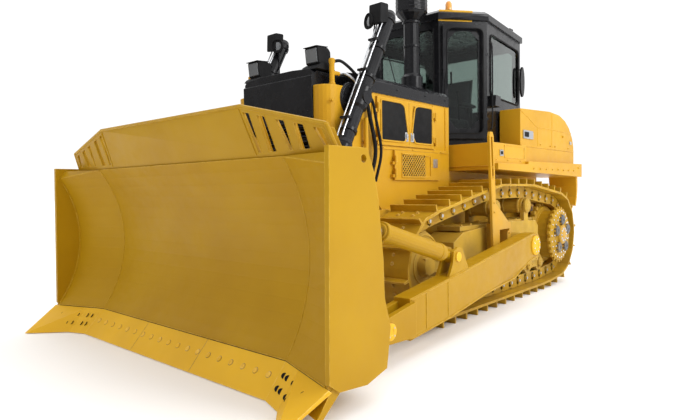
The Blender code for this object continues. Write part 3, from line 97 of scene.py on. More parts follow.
BIT_STRAIGHT_X, BIT_TOP_X, BIT_TOE = 1.72, 2.17, Vector((2.05, -6.844))
BLADE_TOP, BLADE_DEPTH = 1.79, -5.95


# ------------------------------------------------------------ shapes
def add_object(name, mesh):
    """Put a mesh into the scene as an object at the datum."""
    item = bpy.data.objects.new(name, mesh)
    item.location = (0, DATUM_Y, 0)
    bpy.context.scene.collection.objects.link(item)
    return item


def across(direction):
    """Two unit vectors square to a direction."""
    direction = Vector(direction).normalized()
    helper = Vector((1, 0, 0)) if abs(direction.x) < 0.9 else Vector((0, 0, 1))
    first = direction.cross(helper).normalized()
    return first, direction.cross(first)


def arc(centre, radius, start, end, steps):
    """Points on an arc, as pairs."""
    return [(centre[0] + radius * math.cos(math.radians(start + (end - start) * i / steps)),
             centre[1] + radius * math.sin(math.radians(start + (end - start) * i / steps)))
            for i in range(steps + 1)]


def rounded(points, radius, steps=5):
    """Closed outline with its corners rounded, as pairs."""
    result = []
    for i, corner in enumerate(points):
        here = Vector(corner)
        back = Vector(points[i - 1]) - here
        ahead = Vector(points[(i + 1) % len(points)]) - here
        reach = min(radius, back.length * 0.48, ahead.length * 0.48)
        start = here + back.normalized() * reach
        end = here + ahead.normalized() * reach
        for k in range(steps + 1):
            t = k / steps
            result.append(tuple(start * (1 - t) ** 2 + here * 2 * t * (1 - t) + end * t ** 2))
    return result


def smooth_path(points, steps=6):
    """Catmull-Rom curve through the points."""
    points = [Vector(p) for p in points]
    ends = [points[0] * 2 - points[1]] + points + [points[-1] * 2 - points[-2]]
    path = []
    for a, b, c, d in zip(ends, ends[1:], ends[2:], ends[3:]):
        for k in range(steps):
            t = k / steps
            path.append(0.5 * (2 * b + (c - a) * t + (2 * a - 5 * b + 4 * c - d) * t ** 2
                               + (3 * b - a - 3 * c + d) * t ** 3))
    return path + [points[-1]]


class Build:
    """Collects shapes that share a finish and a body, on the left or mirrored to the right."""

    def __init__(self, side=1):
        self.form = bmesh.new()
        self.side = side

    def vertex(self, point):
        """One vertex, on this builder's side of the machine."""
        return self.form.verts.new((point[0] * self.side, point[1], point[2]))

    def loft(self, rings, closed=False):
        """Skin through rings of equally many points, capped at both ends unless it closes on itself."""
        rows = [[self.vertex(p) for p in ring] for ring in rings]
        count = len(rows[0])
        pairs = list(zip(rows, rows[1:]))
        if closed:
            pairs.append((rows[-1], rows[0]))
        for first, second in pairs:
            for i in range(count):
                j = (i + 1) % count
                self.form.faces.new((first[i], first[j], second[j], second[i]))
        if not closed:
            self.form.faces.new(rows[0][::-1])
            self.form.faces.new(rows[-1])

    def prism(self, outline, axis, low, high):
        """Outline of pairs extruded along X, Y or Z."""
        place = {"X": lambda a, b, c: (c, a, b), "Y": lambda a, b, c: (a, c, b),
                 "Z": lambda a, b, c: (a, b, c)}[axis]
        self.loft([[place(a, b, c) for a, b in outline] for c in (low, high)])

    def box(self, x0, x1, y0, y1, z0, z1):
        """Upright box."""
        self.prism([(x0, y0), (x1, y0), (x1, y1), (x0, y1)], "Z", z0, z1)

    def turned(self, start, direction, profile, sides=16):
        """Profile of (distance, radius) turned round a line."""
        start, direction = Vector(start), Vector(direction).normalized()
        first, second = across(direction)
        rings = []
        for distance, radius in profile:
            centre = start + direction * distance
            rings.append([centre + (first * math.cos(2 * math.pi * i / sides)
                                    + second * math.sin(2 * math.pi * i / sides)) * max(radius, 1e-4)
                          for i in range(sides)])
        self.loft(rings)

    def band(self, start, direction, profile, inner, sides=20):
        """Open ring turned round a line: a (distance, radius) profile over a plain bore."""
        start, direction = Vector(start), Vector(direction).normalized()
        first, second = across(direction)
        section = list(profile) + [(profile[-1][0], inner), (profile[0][0], inner)]
        rings = []
        for i in range(sides):
            out = first * math.cos(2 * math.pi * i / sides) + second * math.sin(2 * math.pi * i / sides)
            rings.append([start + direction * distance + out * radius for distance, radius in section])
        self.loft(rings, True)

    def bar(self, start, end, radius, sides=12, end_radius=None):
        """Round bar or cone between two points."""
        length = (Vector(end) - Vector(start)).length
        last = radius if end_radius is None else end_radius
        self.turned(start, Vector(end) - Vector(start), [(0, radius), (length, last)], sides)

    def tube(self, path, radius, sides=8, closed=False):
        """Tube along a path."""
        path = [Vector(p) for p in path]
        count = len(path)
        rings, normal = [], None
        for i, point in enumerate(path):
            ahead = path[(i + 1) % count] if closed or i + 1 < count else point
            behind = path[i - 1] if closed or i else point
            along = (ahead - behind).normalized()
            if normal is None:
                normal = across(along)[0]
            normal = (normal - along * normal.dot(along)).normalized()
            other = along.cross(normal)
            rings.append([point + (normal * math.cos(2 * math.pi * k / sides)
                                   + other * math.sin(2 * math.pi * k / sides)) * radius
                          for k in range(sides)])
        self.loft(rings, closed)

    def hose(self, points, radius, sides=8):
        """Tube on a smooth curve through a few points."""
        self.tube(smooth_path(points), radius, sides)

    def bolt(self, at, direction, size=0.016):
        """Hexagon head on a washer."""
        self.turned(at, direction, [(-0.002, size * 1.45), (size * 0.25, size * 1.4)], 12)
        self.turned(Vector(at) + Vector(direction).normalized() * size * 0.25, direction,
                    [(0, size), (size * 0.75, size), (size * 0.95, size * 0.8)], 6)

    def bolt_circle(self, x, centre, radius, count, size, start=0.0):
        """Bolts round a circle that faces sideways."""
        for i in range(count):
            a = math.radians(start + 360 * i / count)
            self.bolt((x, centre[0] + radius * math.cos(a), centre[1] + radius * math.sin(a)), (1, 0, 0),
                      size)

    def slab(self, corners, thickness):
        """Plate on flat corners, thickened along its normal."""
        corners = [Vector(c) for c in corners]
        normal = (corners[1] - corners[0]).cross(corners[2] - corners[0]).normalized() * thickness
        self.loft([corners, [c + normal for c in corners]])

    def make(self, name, finish, body, slot, bevel=0.0, smooth=35):
        """One mesh object of everything collected, riding on its body."""
        bmesh.ops.recalc_face_normals(self.form, faces=self.form.faces)
        mesh = bpy.data.meshes.new(name)
        self.form.to_mesh(mesh)
        self.form.free()
        mesh.materials.append(finish)
        mesh.shade_smooth()
        mesh.set_sharp_from_angle(angle=math.radians(smooth))
        item = add_object(name, mesh)
        if bevel:
            round_edges(item, bevel)
        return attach(item, body)


def round_edges(item, width, segments=2):
    """Small rounding on an object's sharp edges."""
    step = item.modifiers.new("rounding", "BEVEL")
    step.width = width
    step.segments = segments
    step.limit_method = "ANGLE"
    step.angle_limit = math.radians(38)
    step.harden_normals = True


def wall_matrix(a, b, out=0.0):
    """Matrix that stands a flat (u, z) panel in the wall from a to b, out in front of it."""
    along = (b - a).normalized()
    outward = Vector((along.y, -along.x))
    origin = Vector((a.x + outward.x * out, a.y + outward.y * out, 0))
    return Matrix(((along.x, 0, outward.x, origin.x), (along.y, 0, outward.y, origin.y),
                   (0, 1, 0, 0), (0, 0, 0, 1)))


def panel(name, loops, depth, matrix, finish, body, edge=0.003, side=1):
    """Flat sheet with holes and soft edges: the first loop is its outline, the others are its holes."""
    curve = bpy.data.curves.new(name, "CURVE")
    curve.dimensions = "2D"
    curve.fill_mode = "BOTH"
    curve.extrude = max(depth / 2 - edge, 0.0005)
    curve.bevel_depth = edge
    curve.bevel_resolution = 1
    for loop in loops:
        spline = curve.splines.new("POLY")
        spline.points.add(len(loop) - 1)
        for point, (u, v) in zip(spline.points, loop):
            point.co = (u, v, 0, 1)
        spline.use_cyclic_u = True
    shell = bpy.data.objects.new(name, curve)
    bpy.context.scene.collection.objects.link(shell)
    bpy.context.view_layer.update()
    mesh = bpy.data.meshes.new_from_object(shell.evaluated_get(bpy.context.evaluated_depsgraph_get()))
    bpy.data.objects.remove(shell)
    bpy.data.curves.remove(curve)
    mesh.name = name
    mesh.transform(matrix)
    if side < 0:
        mesh.transform(Matrix.Scale(-1, 4, (1, 0, 0)))
        mesh.flip_normals()
    mesh.materials.clear()
    mesh.materials.append(finish)
    mesh.shade_smooth()
    mesh.set_sharp_from_angle(angle=math.radians(35))
    item = add_object(name, mesh)
    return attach(item, body)


# ------------------------------------------------------------ finishes
def node(tree, kind, **inputs):
    """Shader node with some of its inputs set."""
    made = tree.nodes.new("ShaderNode" + kind)
    for name, value in inputs.items():
        made.inputs[name.replace("_", " ")].default_value = value
    return made


def noise(tree, scale, detail=4.0, stretch=None):
    """Noise in the piece's own space."""
    place = tree.nodes.new("ShaderNodeTexCoord")
    source = place.outputs["Object"]
    if stretch:
        mapping = tree.nodes.new("ShaderNodeMapping")
        mapping.inputs["Scale"].default_value = stretch
        tree.links.new(source, mapping.inputs["Vector"])
        source = mapping.outputs["Vector"]
    made = node(tree, "TexNoise", Scale=scale, Detail=detail)
    tree.links.new(source, made.inputs["Vector"])
    return made.outputs["Fac"]


def ramp(tree, source, low, high, out_low=0.0, out_high=1.0):
    """Map a value from one range to another, clamped."""
    made = tree.nodes.new("ShaderNodeMapRange")
    for name, value in (("From Min", low), ("From Max", high), ("To Min", out_low), ("To Max", out_high)):
        made.inputs[name].default_value = value
    tree.links.new(source, made.inputs["Value"])
    return made.outputs["Result"]


def mixed(tree, share, first, second):
    """Mix of two colours, each a link or a value."""
    made = tree.nodes.new("ShaderNodeMix")
    made.data_type = "RGBA"
    tree.links.new(share, made.inputs["Factor"])
    for socket, value in ((made.inputs["A"], first), (made.inputs["B"], second)):
        if isinstance(value, bpy.types.NodeSocket):
            tree.links.new(value, socket)
        else:
            socket.default_value = (*value, 1.0)
    return made.outputs["Result"]


def multiplied(tree, first, second):
    """Product of two values."""
    made = tree.nodes.new("ShaderNodeMath")
    made.operation = "MULTIPLY"
    tree.links.new(first, made.inputs[0])
    tree.links.new(second, made.inputs[1])
    return made.outputs["Value"]


def height_share(tree, low, high):
    """1 at the low height, 0 at the high one."""
    place = tree.nodes.new("ShaderNodeTexCoord")
    split = tree.nodes.new("ShaderNodeSeparateXYZ")
    tree.links.new(place.outputs["Object"], split.inputs["Vector"])
    return ramp(tree, split.outputs["Z"], low, high, 1.0, 0.0)


def edge_share(tree, radius=0.012):
    """1 near sharp edges, where handling wears the paint and where a lighter colour is painted on as an edge
    highlight.
    """
    soft = node(tree, "Bevel", Radius=radius)
    soft.samples = 4
    geometry = tree.nodes.new("ShaderNodeNewGeometry")
    dot = tree.nodes.new("ShaderNodeVectorMath")
    dot.operation = "DOT_PRODUCT"
    tree.links.new(soft.outputs["Normal"], dot.inputs[0])
    tree.links.new(geometry.outputs["Normal"], dot.inputs[1])
    return ramp(tree, dot.outputs["Value"], 0.97, 0.80)


def paint(name, colour, shade, edge=None, dust=None, dust_height=(0.2, 1.3), rough=(0.32, 0.48), coat=0.06,
          metallic=0.0, grain=(60.0, 0.05), patch=1.2):
    """Painted or bare metal: broad colour drift, fine grain, lighter edges that are partly wear and partly a
    painted highlight, and dust that gathers low down.
    """
    made = bpy.data.materials.new(name)
    made.use_nodes = True
    tree = made.node_tree
    shader = tree.nodes["Principled BSDF"]
    shader.inputs["Metallic"].default_value = metallic
    shader.inputs["Coat Weight"].default_value = coat
    shader.inputs["Coat Roughness"].default_value = 0.18
    shader.inputs["Specular IOR Level"].default_value = 0.5 if metallic or coat > 0.3 else 0.15
    result = mixed(tree, ramp(tree, noise(tree, patch, 6.0), 0.35, 0.68), colour, shade)
    if edge:
        # lighter colour on sharp edges, patched by noise: partly wear, partly a painted edge highlight
        edge_wear_and_highlight = multiplied(tree, edge_share(tree), ramp(tree, noise(tree, 14.0), 0.35, 0.6))
        result = mixed(tree, edge_wear_and_highlight, result, edge)
    if dust:
        low = multiplied(tree, height_share(tree, *dust_height),
                         ramp(tree, noise(tree, 5.0, 8.0), 0.30, 0.72))
        result = mixed(tree, low, result, dust)
    tree.links.new(result, shader.inputs["Base Color"])
    tree.links.new(ramp(tree, noise(tree, 9.0, 6.0), 0.3, 0.7, *rough), shader.inputs["Roughness"])
    bump = node(tree, "Bump", Strength=grain[1], Distance=0.004)
    tree.links.new(noise(tree, grain[0], 3.0), bump.inputs["Height"])
    tree.links.new(bump.outputs["Normal"], shader.inputs["Normal"])
    return made


def glass(name, tint, rough=0.02):
    """Tinted glass with faint smears."""
    made = bpy.data.materials.new(name)
    made.use_nodes = True
    tree = made.node_tree
    shader = tree.nodes["Principled BSDF"]
    shader.inputs["Base Color"].default_value = (*tint, 1.0)
    shader.inputs["Transmission Weight"].default_value = 1.0
    shader.inputs["IOR"].default_value = 1.45
    tree.links.new(ramp(tree, noise(tree, 3.0, 6.0), 0.4, 0.8, rough, rough + 0.05),
                   shader.inputs["Roughness"])
    bump = node(tree, "Bump", Strength=0.02, Distance=0.002)
    tree.links.new(noise(tree, 2.0), bump.inputs["Height"])
    tree.links.new(bump.outputs["Normal"], shader.inputs["Normal"])
    return made


def cloth(name, colour, light):
    """Woven seat cover."""
    made = bpy.data.materials.new(name)
    made.use_nodes = True
    tree = made.node_tree
    shader = tree.nodes["Principled BSDF"]
    shader.inputs["Sheen Weight"].default_value = 0.3
    place = tree.nodes.new("ShaderNodeTexCoord")
    waves = []
    for direction in ("X", "Z"):
        wave = node(tree, "TexWave", Scale=90.0, Distortion=0.6)
        wave.bands_direction = direction
        tree.links.new(place.outputs["Object"], wave.inputs["Vector"])
        waves.append(wave.outputs["Fac"])
    weave = multiplied(tree, waves[0], waves[1])
    tree.links.new(mixed(tree, weave, colour, light), shader.inputs["Base Color"])
    tree.links.new(ramp(tree, weave, 0, 1, 0.75, 0.95), shader.inputs["Roughness"])
    bump = node(tree, "Bump", Strength=0.4, Distance=0.002)
    tree.links.new(weave, bump.inputs["Height"])
    tree.links.new(bump.outputs["Normal"], shader.inputs["Normal"])
    return made


# the third colour of each paint is its lighter edge colour: partly wear, partly a painted edge highlight
YELLOW = paint("hull_paint", (0.63, 0.340, 0.016), (0.56, 0.290, 0.012), (0.78, 0.50, 0.10),
               (0.50, 0.30, 0.05),
               (0.9, 1.6))
BLADE_YELLOW = paint("blade_paint", (0.45, 0.252, 0.005), (0.40, 0.214, 0.004), (0.64, 0.41, 0.06), None,
                     (0, 1), (0.34, 0.52), 0.04, 0.0, (34.0, 0.09))
EDGE_YELLOW = paint("edge_paint", (0.80, 0.46, 0.022), (0.70, 0.39, 0.020), (0.90, 0.62, 0.18), None,
                    (0, 1), (0.45, 0.62), 0.05)
TRACK_YELLOW = paint("track_paint", (0.52, 0.300, 0.012), (0.38, 0.205, 0.010), (0.80, 0.54, 0.15),
                     (0.34, 0.20, 0.03), (0.0, 1.2), (0.4, 0.65), 0.05, 0.0, (45.0, 0.15), 3.0)
WORN_YELLOW = paint("undercarriage_paint", (0.56, 0.340, 0.035), (0.38, 0.235, 0.040), (0.76, 0.56, 0.22),
                    (0.33, 0.20, 0.045), (0.0, 1.0), (0.45, 0.7), 0.0, 0.0, (38.0, 0.2), 2.2)
BLACK = paint("black_paint", (0.007, 0.007, 0.008), (0.014, 0.014, 0.016), (0.05, 0.05, 0.055), None, (0, 1),
              (0.16, 0.34), 0.12)
DULL_BLACK = paint("rubber_black", (0.008, 0.008, 0.009), (0.015, 0.015, 0.015), None, None, (0, 1),
                   (0.6, 0.85),
                   0.0, 0.0, (120.0, 0.2))
DRIVE_GREY = paint("drive_grey", (0.085, 0.092, 0.105), (0.05, 0.053, 0.06), (0.35, 0.36, 0.38),
                   (0.30, 0.21, 0.09), (0.2, 1.2), (0.3, 0.55), 0.1, 0.4)
CHROME = paint("rod_chrome", (0.78, 0.78, 0.80), (0.66, 0.66, 0.69), None, None, (0, 1), (0.08, 0.2), 0.0,
               1.0)
SILVER = paint("silver_fittings", (0.50, 0.51, 0.53), (0.36, 0.37, 0.39), (0.8, 0.8, 0.8), None, (0, 1),
               (0.22, 0.4), 0.1, 0.85)
LENS = paint("lamp_lens", (0.16, 0.17, 0.18), (0.10, 0.105, 0.11), None, None, (0, 1), (0.05, 0.15), 1.0, 0.2)
AMBER = paint("beacon_amber", (0.85, 0.33, 0.02), (0.75, 0.25, 0.02), None, None, (0, 1), (0.1, 0.2), 1.0)
BROWN = paint("cap_brown", (0.30, 0.17, 0.06), (0.22, 0.13, 0.05), (0.5, 0.35, 0.15), None, (0, 1),
              (0.5, 0.7))
GLASS = glass("cab_glass", (0.36, 0.43, 0.40))
SEAT_CLOTH = cloth("seat_cloth", (0.035, 0.036, 0.04), (0.08, 0.082, 0.09))

NODE_FINISH = {"hull_yellow": YELLOW, "blade_yellow": BLADE_YELLOW, "worn_yellow": WORN_YELLOW,
               "track_steel": TRACK_YELLOW, "drive_grey": TRACK_YELLOW, "gloss_black": BLACK,
               "edge_steel": EDGE_YELLOW, "rod_chrome": CHROME, "cab_glass": GLASS, "seat_cover": SEAT_CLOTH}
SHARP_NODES = ("track_L", "track_R", "cab_door_glass_L", "cab_door_glass_R", "front_window", "rear_window",
               "side_window_L", "side_window_R")


def dress_nodes():
    """Give each CAD node its procedural finish and soft edges."""
    slots = {part["node"]: part["material_slot"] for part in frame["record"]["subparts"]}
    for name, item in NODES.items():
        item.data.materials.clear()
        item.data.materials.append(NODE_FINISH[slots[name]])
        weld = item.modifiers.new("weld", "WELD")
        weld.merge_threshold = 1e-5
        if name not in SHARP_NODES:
            round_edges(item, 0.004)
            item.modifiers["rounding"].harden_normals = False


# ------------------------------------------------------------ crawler
PITCH_OUT = 0.125
LINK_HALF = 0.065


def pin_line():
    """Pins of the track, at equal steps along the belt round its wheels, as the CAD lays them."""
    wheels = [(IDLER_Y, IDLER_Z, IDLER_RADIUS), (SPROCKET.y, SPROCKET.z, SPROCKET_RADIUS)]
    wheels += [(y, CARRIER_Z, 0.185) for y in CARRIERS_Y]
    wheels += [(y, ROLLER_Z, 0.1953) for y in ROLLERS_Y]
    rim = [Vector((y + r * math.cos(2 * math.pi * i / 180), z + r * math.sin(2 * math.pi * i / 180)))
           for y, z, r in wheels for i in range(180)]
    hull = [rim[i] for i in convex_hull_2d(rim)]
    turn = sum(a.x * b.y - b.x * a.y for a, b in zip(hull, hull[1:] + hull[:1]))
    if turn < 0:
        hull.reverse()
    start = min(range(len(hull)), key=lambda i: (hull[i].x, hull[i].y))
    hull = hull[start:] + hull[:start + 1]
    reach = [0.0]
    for a, b in zip(hull, hull[1:]):
        reach.append(reach[-1] + (b - a).length)
    links = round(reach[-1] / TRACK_PITCH)
    pins, k = [], 0
    for i in range(links):
        wanted = reach[-1] * i / links
        while reach[k + 1] <= wanted:
            k += 1
        pins.append(hull[k].lerp(hull[k + 1], (wanted - reach[k]) / (reach[k + 1] - reach[k])))
    return pins


def track_details(tag, side, pins):
    """Link plates, pins, bushes and shoe bolts."""
    links, shiny, bolts = Build(side), Build(side), Build(side)
    for i, pin in enumerate(pins):
        ahead = pins[(i + 1) % len(pins)]
        along = (ahead - pin).normalized()
        out = Vector((along.y, -along.x))
        for x in (TRACK_X - 0.145, TRACK_X + 0.105):
            shape = [pin - along * 0.05 - out * 0.045, pin - along * 0.02 - out * (LINK_HALF + 0.004),
                     pin + along * 0.24 - out * (LINK_HALF + 0.004), ahead + along * 0.03 - out * 0.035,
                     ahead + along * 0.03 + out * 0.04, ahead - along * 0.03 + out * 0.09,
                     pin + along * 0.02 + out * 0.09, pin - along * 0.05 + out * 0.045]
            links.prism([tuple(p) for p in shape], "X", x, x + 0.04)
        links.turned((TRACK_X - 0.165, *pin), (1, 0, 0), [(0, 0.036), (0.33, 0.036)], 10)
        shiny.turned((TRACK_X - 0.175, *pin), (1, 0, 0), [(0, 0.020), (0.35, 0.020)], 8)
        for share in (0.42, 0.78):
            spot = pin + along * TRACK_PITCH * share + out * PITCH_OUT
            for x in (TRACK_X - 0.10, TRACK_X + 0.10):
                bolts.bolt((x, *spot), (0, out.x, out.y), 0.015)
    links.make("track_links_" + tag, TRACK_YELLOW, "tractor", "track_steel", 0.003)
    shiny.make("track_pins_" + tag, SILVER, "tractor", "track_steel")
    bolts.make("shoe_bolts_" + tag, WORN_YELLOW, "tractor", "track_steel")


def sprocket_details(tag, side, pins):
    """Teeth between the track pins, bolted rings and the planetary cover."""
    centre = Vector((SPROCKET.y, SPROCKET.z))
    wrapped = [p for p in pins if abs((p - centre).length - SPROCKET_RADIUS) < 0.004]
    phase = math.atan2(wrapped[0].y - centre.y, wrapped[0].x - centre.x)
    teeth = Build(side)
    step = 2 * math.pi / 26
    for i in range(26):
        a = phase + (i + 0.5) * step
        flat = [(0.440, -0.40), (0.478, -0.30), (0.512, -0.10), (0.512, 0.10), (0.478, 0.30), (0.440, 0.40)]
        outline = [(centre.x + r * math.cos(a + s * step), centre.y + r * math.sin(a + s * step))
                   for r, s in flat]
        teeth.prism(outline, "X", TRACK_X - 0.035, TRACK_X + 0.035)
    teeth.make("sprocket_teeth_" + tag, WORN_YELLOW, "tractor", "worn_yellow", 0.004)
    bolts, hub, lobes = Build(side), Build(side), Build(side)
    x = node_box("final_drive_L")[1].x
    for radius, count, face in ((0.365, 26, 1.43), (0.285, 20, x - 0.044), (0.095, 10, x)):
        bolts.bolt_circle(face, centre, radius, count, 0.014)
    hub.turned((x - 0.03, SPROCKET.y, SPROCKET.z), (1, 0, 0),
               [(0, 0.15), (0.02, 0.15), (0.03, 0.135), (0.034, 0.07), (0.045, 0.06), (0.046, 0.01)], 24)
    for i in range(5):
        a = math.radians(90 + 72 * i)
        lobes.turned((x - 0.05, SPROCKET.y + 0.235 * math.cos(a), SPROCKET.z + 0.235 * math.sin(a)),
                     (1, 0, 0),
                     [(0, 0.082), (0.042, 0.080), (0.052, 0.066), (0.052, 0.03), (0.044, 0.028)], 18)
    lobes.turned((x - 0.062, SPROCKET.y, SPROCKET.z), (1, 0, 0),
                 [(0, 0.315), (0.012, 0.315), (0.018, 0.30)], 36)
    ring = Build(side)
    ring.turned((1.40, SPROCKET.y, SPROCKET.z), (1, 0, 0), [(0, 0.405), (0.020, 0.400), (0.030, 0.385)], 36)
    for i in range(26):
        a = 2 * math.pi * (i + 0.5) / 26
        ring.turned((1.39, SPROCKET.y + 0.418 * math.cos(a), SPROCKET.z + 0.418 * math.sin(a)), (1, 0, 0),
                    [(0, 0.026), (0.03, 0.026), (0.034, 0.02)], 10)
    ring.make("drive_ring_" + tag, TRACK_YELLOW, "tractor", "drive_grey", 0.002)
    bolts.make("drive_bolts_" + tag, SILVER, "tractor", "drive_grey")
    hub.make("drive_hub_" + tag, YELLOW, "tractor", "hull_yellow")
    lobes.make("drive_cover_" + tag, DRIVE_GREY, "tractor", "drive_grey", 0.003)


def roller_details(tag, side):
    """End caps of rollers, the idler's hub and rim, and fittings of the track frame."""
    caps, bolts, plates = Build(side), Build(side), Build(side)
    outer = TRACK_X + 0.20
    first_y, last_y = ROLLERS_Y
    for i in range(ROLLER_COUNT):
        y = first_y + i * (last_y - first_y) / (ROLLER_COUNT - 1)
        caps.turned((outer - 0.03, y, ROLLER_Z), (1, 0, 0),
                    [(0, 0.075), (0.035, 0.075), (0.045, 0.06), (0.05, 0.02)], 14)
        for dy in (-0.05, 0.05):
            bolts.bolt((outer + 0.015, y + dy, ROLLER_Z), (1, 0, 0), 0.010)
    for y in CARRIERS_Y:
        caps.turned((outer - 0.005, y, CARRIER_Z), (1, 0, 0),
                    [(0, 0.105), (0.03, 0.105), (0.045, 0.085), (0.05, 0.03)], 18)
        bolts.bolt_circle(outer + 0.035, (y, CARRIER_Z), 0.075, 6, 0.009)
        for x in (TRACK_X - 0.13, TRACK_X + 0.10):
            caps.turned((x, y, CARRIER_Z), (1, 0, 0), [(0, 0.125), (0.03, 0.125)], 20)
    y, z = IDLER_Y, IDLER_Z
    caps.turned((TRACK_X + 0.10, y, z), (1, 0, 0), [(0, 0.13), (0.05, 0.12), (0.085, 0.10), (0.09, 0.03)], 20)
    bolts.bolt_circle(TRACK_X + 0.155, (y, z), 0.09, 8, 0.010)
    for radius in (0.20, 0.34):
        ring = [(TRACK_X + 0.10, y + radius * math.cos(math.radians(a)),
                 z + radius * math.sin(math.radians(a)))
                for a in range(0, 360, 10)]
        plates.tube(ring, 0.012, 6, True)
    for y0, y1 in ((-3.20, -2.10), (-2.05, -1.05)):
        top = 1.015
        plates.box(TRACK_X - 0.16, TRACK_X + 0.16, y0, y1, top, top + 0.012 + (0.055 if y0 > -2.1 else 0.045))
        for x in (TRACK_X - 0.13, TRACK_X + 0.13):
            for k in range(5):
                bolts.bolt((x, y0 + 0.08 + k * (y1 - y0 - 0.16) / 4, top + 0.066), (0, 0, 1), 0.011)
    plates.prism([(-3.36, 0.44), (-0.94, 0.44), (-0.94, 0.50), (-3.36, 0.50)], "X", outer, outer + 0.014)
    for k in range(13):
        bolts.bolt((outer + 0.014, -3.30 + k * 0.19, 0.47), (1, 0, 0), 0.012)
    for dz in (-0.05, 0.05):
        for dy in (0.10, 0.25, 0.40):
            bolts.bolt((TRACK_X + 0.18, -3.85 + dy, z + dz), (1, 0, 0), 0.012)
    caps.make("roller_caps_" + tag, WORN_YELLOW, "tractor", "worn_yellow", 0.003)
    bolts.make("frame_bolts_" + tag, TRACK_YELLOW, "tractor", "worn_yellow")
    plates.make("frame_covers_" + tag, WORN_YELLOW, "tractor", "worn_yellow", 0.004)


# ------------------------------------------------------------ blade
def wing_shift(x):
    """How far forward the wings stand at x."""
    return min(0.0, (SEAM_X - abs(x)) * WING_SLOPE)


def arc_y(z, extra=0.0):
    """Y of the mouldboard's curve at a height."""
    half = (BLADE_TOP - EDGE_TOP.y) / 2
    depth = BLADE_DEPTH - EDGE_TOP.x
    radius = (half * half + depth * depth) / (2 * depth)
    return BLADE_DEPTH - radius + math.sqrt((radius + extra) ** 2 - (z - EDGE_TOP.y - half) ** 2)


def edge_face(x, share):
    """Point on the front of the cutting edge or end bit, from its top (0) to its foot (1)."""
    if x <= BIT_STRAIGHT_X:
        top = Vector((x, EDGE_TOP.x + wing_shift(x), EDGE_TOP.y))
        foot = Vector((x, EDGE_BOTTOM.x + wing_shift(x), EDGE_BOTTOM.y))
        return top.lerp(foot, share)
    t = (x - BIT_STRAIGHT_X) / (BIT_TOP_X - BIT_STRAIGHT_X)
    top = Vector((x, EDGE_TOP.x + wing_shift(x), EDGE_TOP.y))
    near = Vector((BIT_STRAIGHT_X, EDGE_BOTTOM.x + wing_shift(BIT_STRAIGHT_X), EDGE_BOTTOM.y))
    return top.lerp(near.lerp(Vector((*BIT_TOE, EDGE_BOTTOM.y)), t), share)


EDGE_NORMAL = Vector((0, -0.748, 0.664))


def blade_front():
    """Bolts, seams and welds on the working face."""
    heads, rings, seams, dark = Build(), Build(), Build(), Build()
    spots = [(x, 0.42, EDGE_NORMAL) for x in [-1.40 + 2.80 * i / 18 for i in range(19)]]
    tilt = Vector((0.30, -0.72, 0.62))
    for x0 in (1.58, 1.76, 1.92):
        for dx in (0.0, 0.06):
            spots += [(sign * (x0 + dx), share, Vector((sign * tilt.x, tilt.y, tilt.z)))
                      for sign in (-1, 1) for share in (0.30, 0.62)]
    for x, share, normal in spots:
        point = edge_face(abs(x), share)
        point.x = math.copysign(point.x, x)
        if abs(x) < SEAM_X:
            rings.turned(point - normal * 0.004, normal, [(0, 0.027), (0.005, 0.027), (0.005, 0.024)], 18)
            heads.turned(point, normal, [(0, 0.0235), (0.005, 0.0225), (0.007, 0.015), (0.004, 0.011)], 14)
        else:
            dark.turned(point - normal * 0.003, normal, [(0, 0.024), (0.006, 0.024), (0.004, 0.015)], 14)
    for x in (-0.50, 0.50):
        seams.tube([edge_face(abs(x), s) * 1.0 + Vector((x - abs(x), 0, 0)) for s in (0.02, 0.98)], 0.002, 6)
    dark.tube([(-WING_X + 0.05, EDGE_TOP.x + wing_shift(WING_X - 0.05) - 0.002, EDGE_TOP.y + 0.002),
               (-SEAM_X, EDGE_TOP.x - 0.002, EDGE_TOP.y + 0.002),
               (SEAM_X, EDGE_TOP.x - 0.002, EDGE_TOP.y + 0.002),
               (WING_X - 0.05, EDGE_TOP.x + wing_shift(WING_X - 0.05) - 0.002, EDGE_TOP.y + 0.002)], 0.004, 6)
    dark.make("bit_bolts", DULL_BLACK, "blade", "edge_steel")
    heads.make("edge_bolts", EDGE_YELLOW, "blade", "edge_steel")
    rings.make("edge_bolt_rings", BROWN, "blade", "edge_steel")
    seams.make("edge_seams", BROWN, "blade", "edge_steel")
    welds = Build()
    levels = [0.27 + 1.50 * i / 24 for i in range(25)]
    for sign in (-1, 1):
        welds.tube([(sign * SEAM_X, arc_y(z) - 0.001, z) for z in levels], 0.006, 6)
        corner = WING_X - 0.022
        welds.tube([(sign * corner, arc_y(z) + wing_shift(corner) - 0.002, z) for z in levels if z < 1.69],
                   0.010, 6)
        welds.tube([(sign * SEAM_X, EDGE_TOP.x + 0.004, BLADE_TOP - 0.004),
                    (sign * corner, arc_y(1.704) + wing_shift(corner), 1.706)], 0.007, 6)
    base = [(-WING_X + 0.03, EDGE_TOP.x + wing_shift(WING_X - 0.03), EDGE_TOP.y + 0.006),
            (-SEAM_X, EDGE_TOP.x, EDGE_TOP.y + 0.006), (SEAM_X, EDGE_TOP.x, EDGE_TOP.y + 0.006),
            (WING_X - 0.03, EDGE_TOP.x + wing_shift(WING_X - 0.03), EDGE_TOP.y + 0.006)]
    welds.tube(base, 0.006, 6)
    welds.make("blade_welds", BLADE_YELLOW, "blade", "blade_yellow")


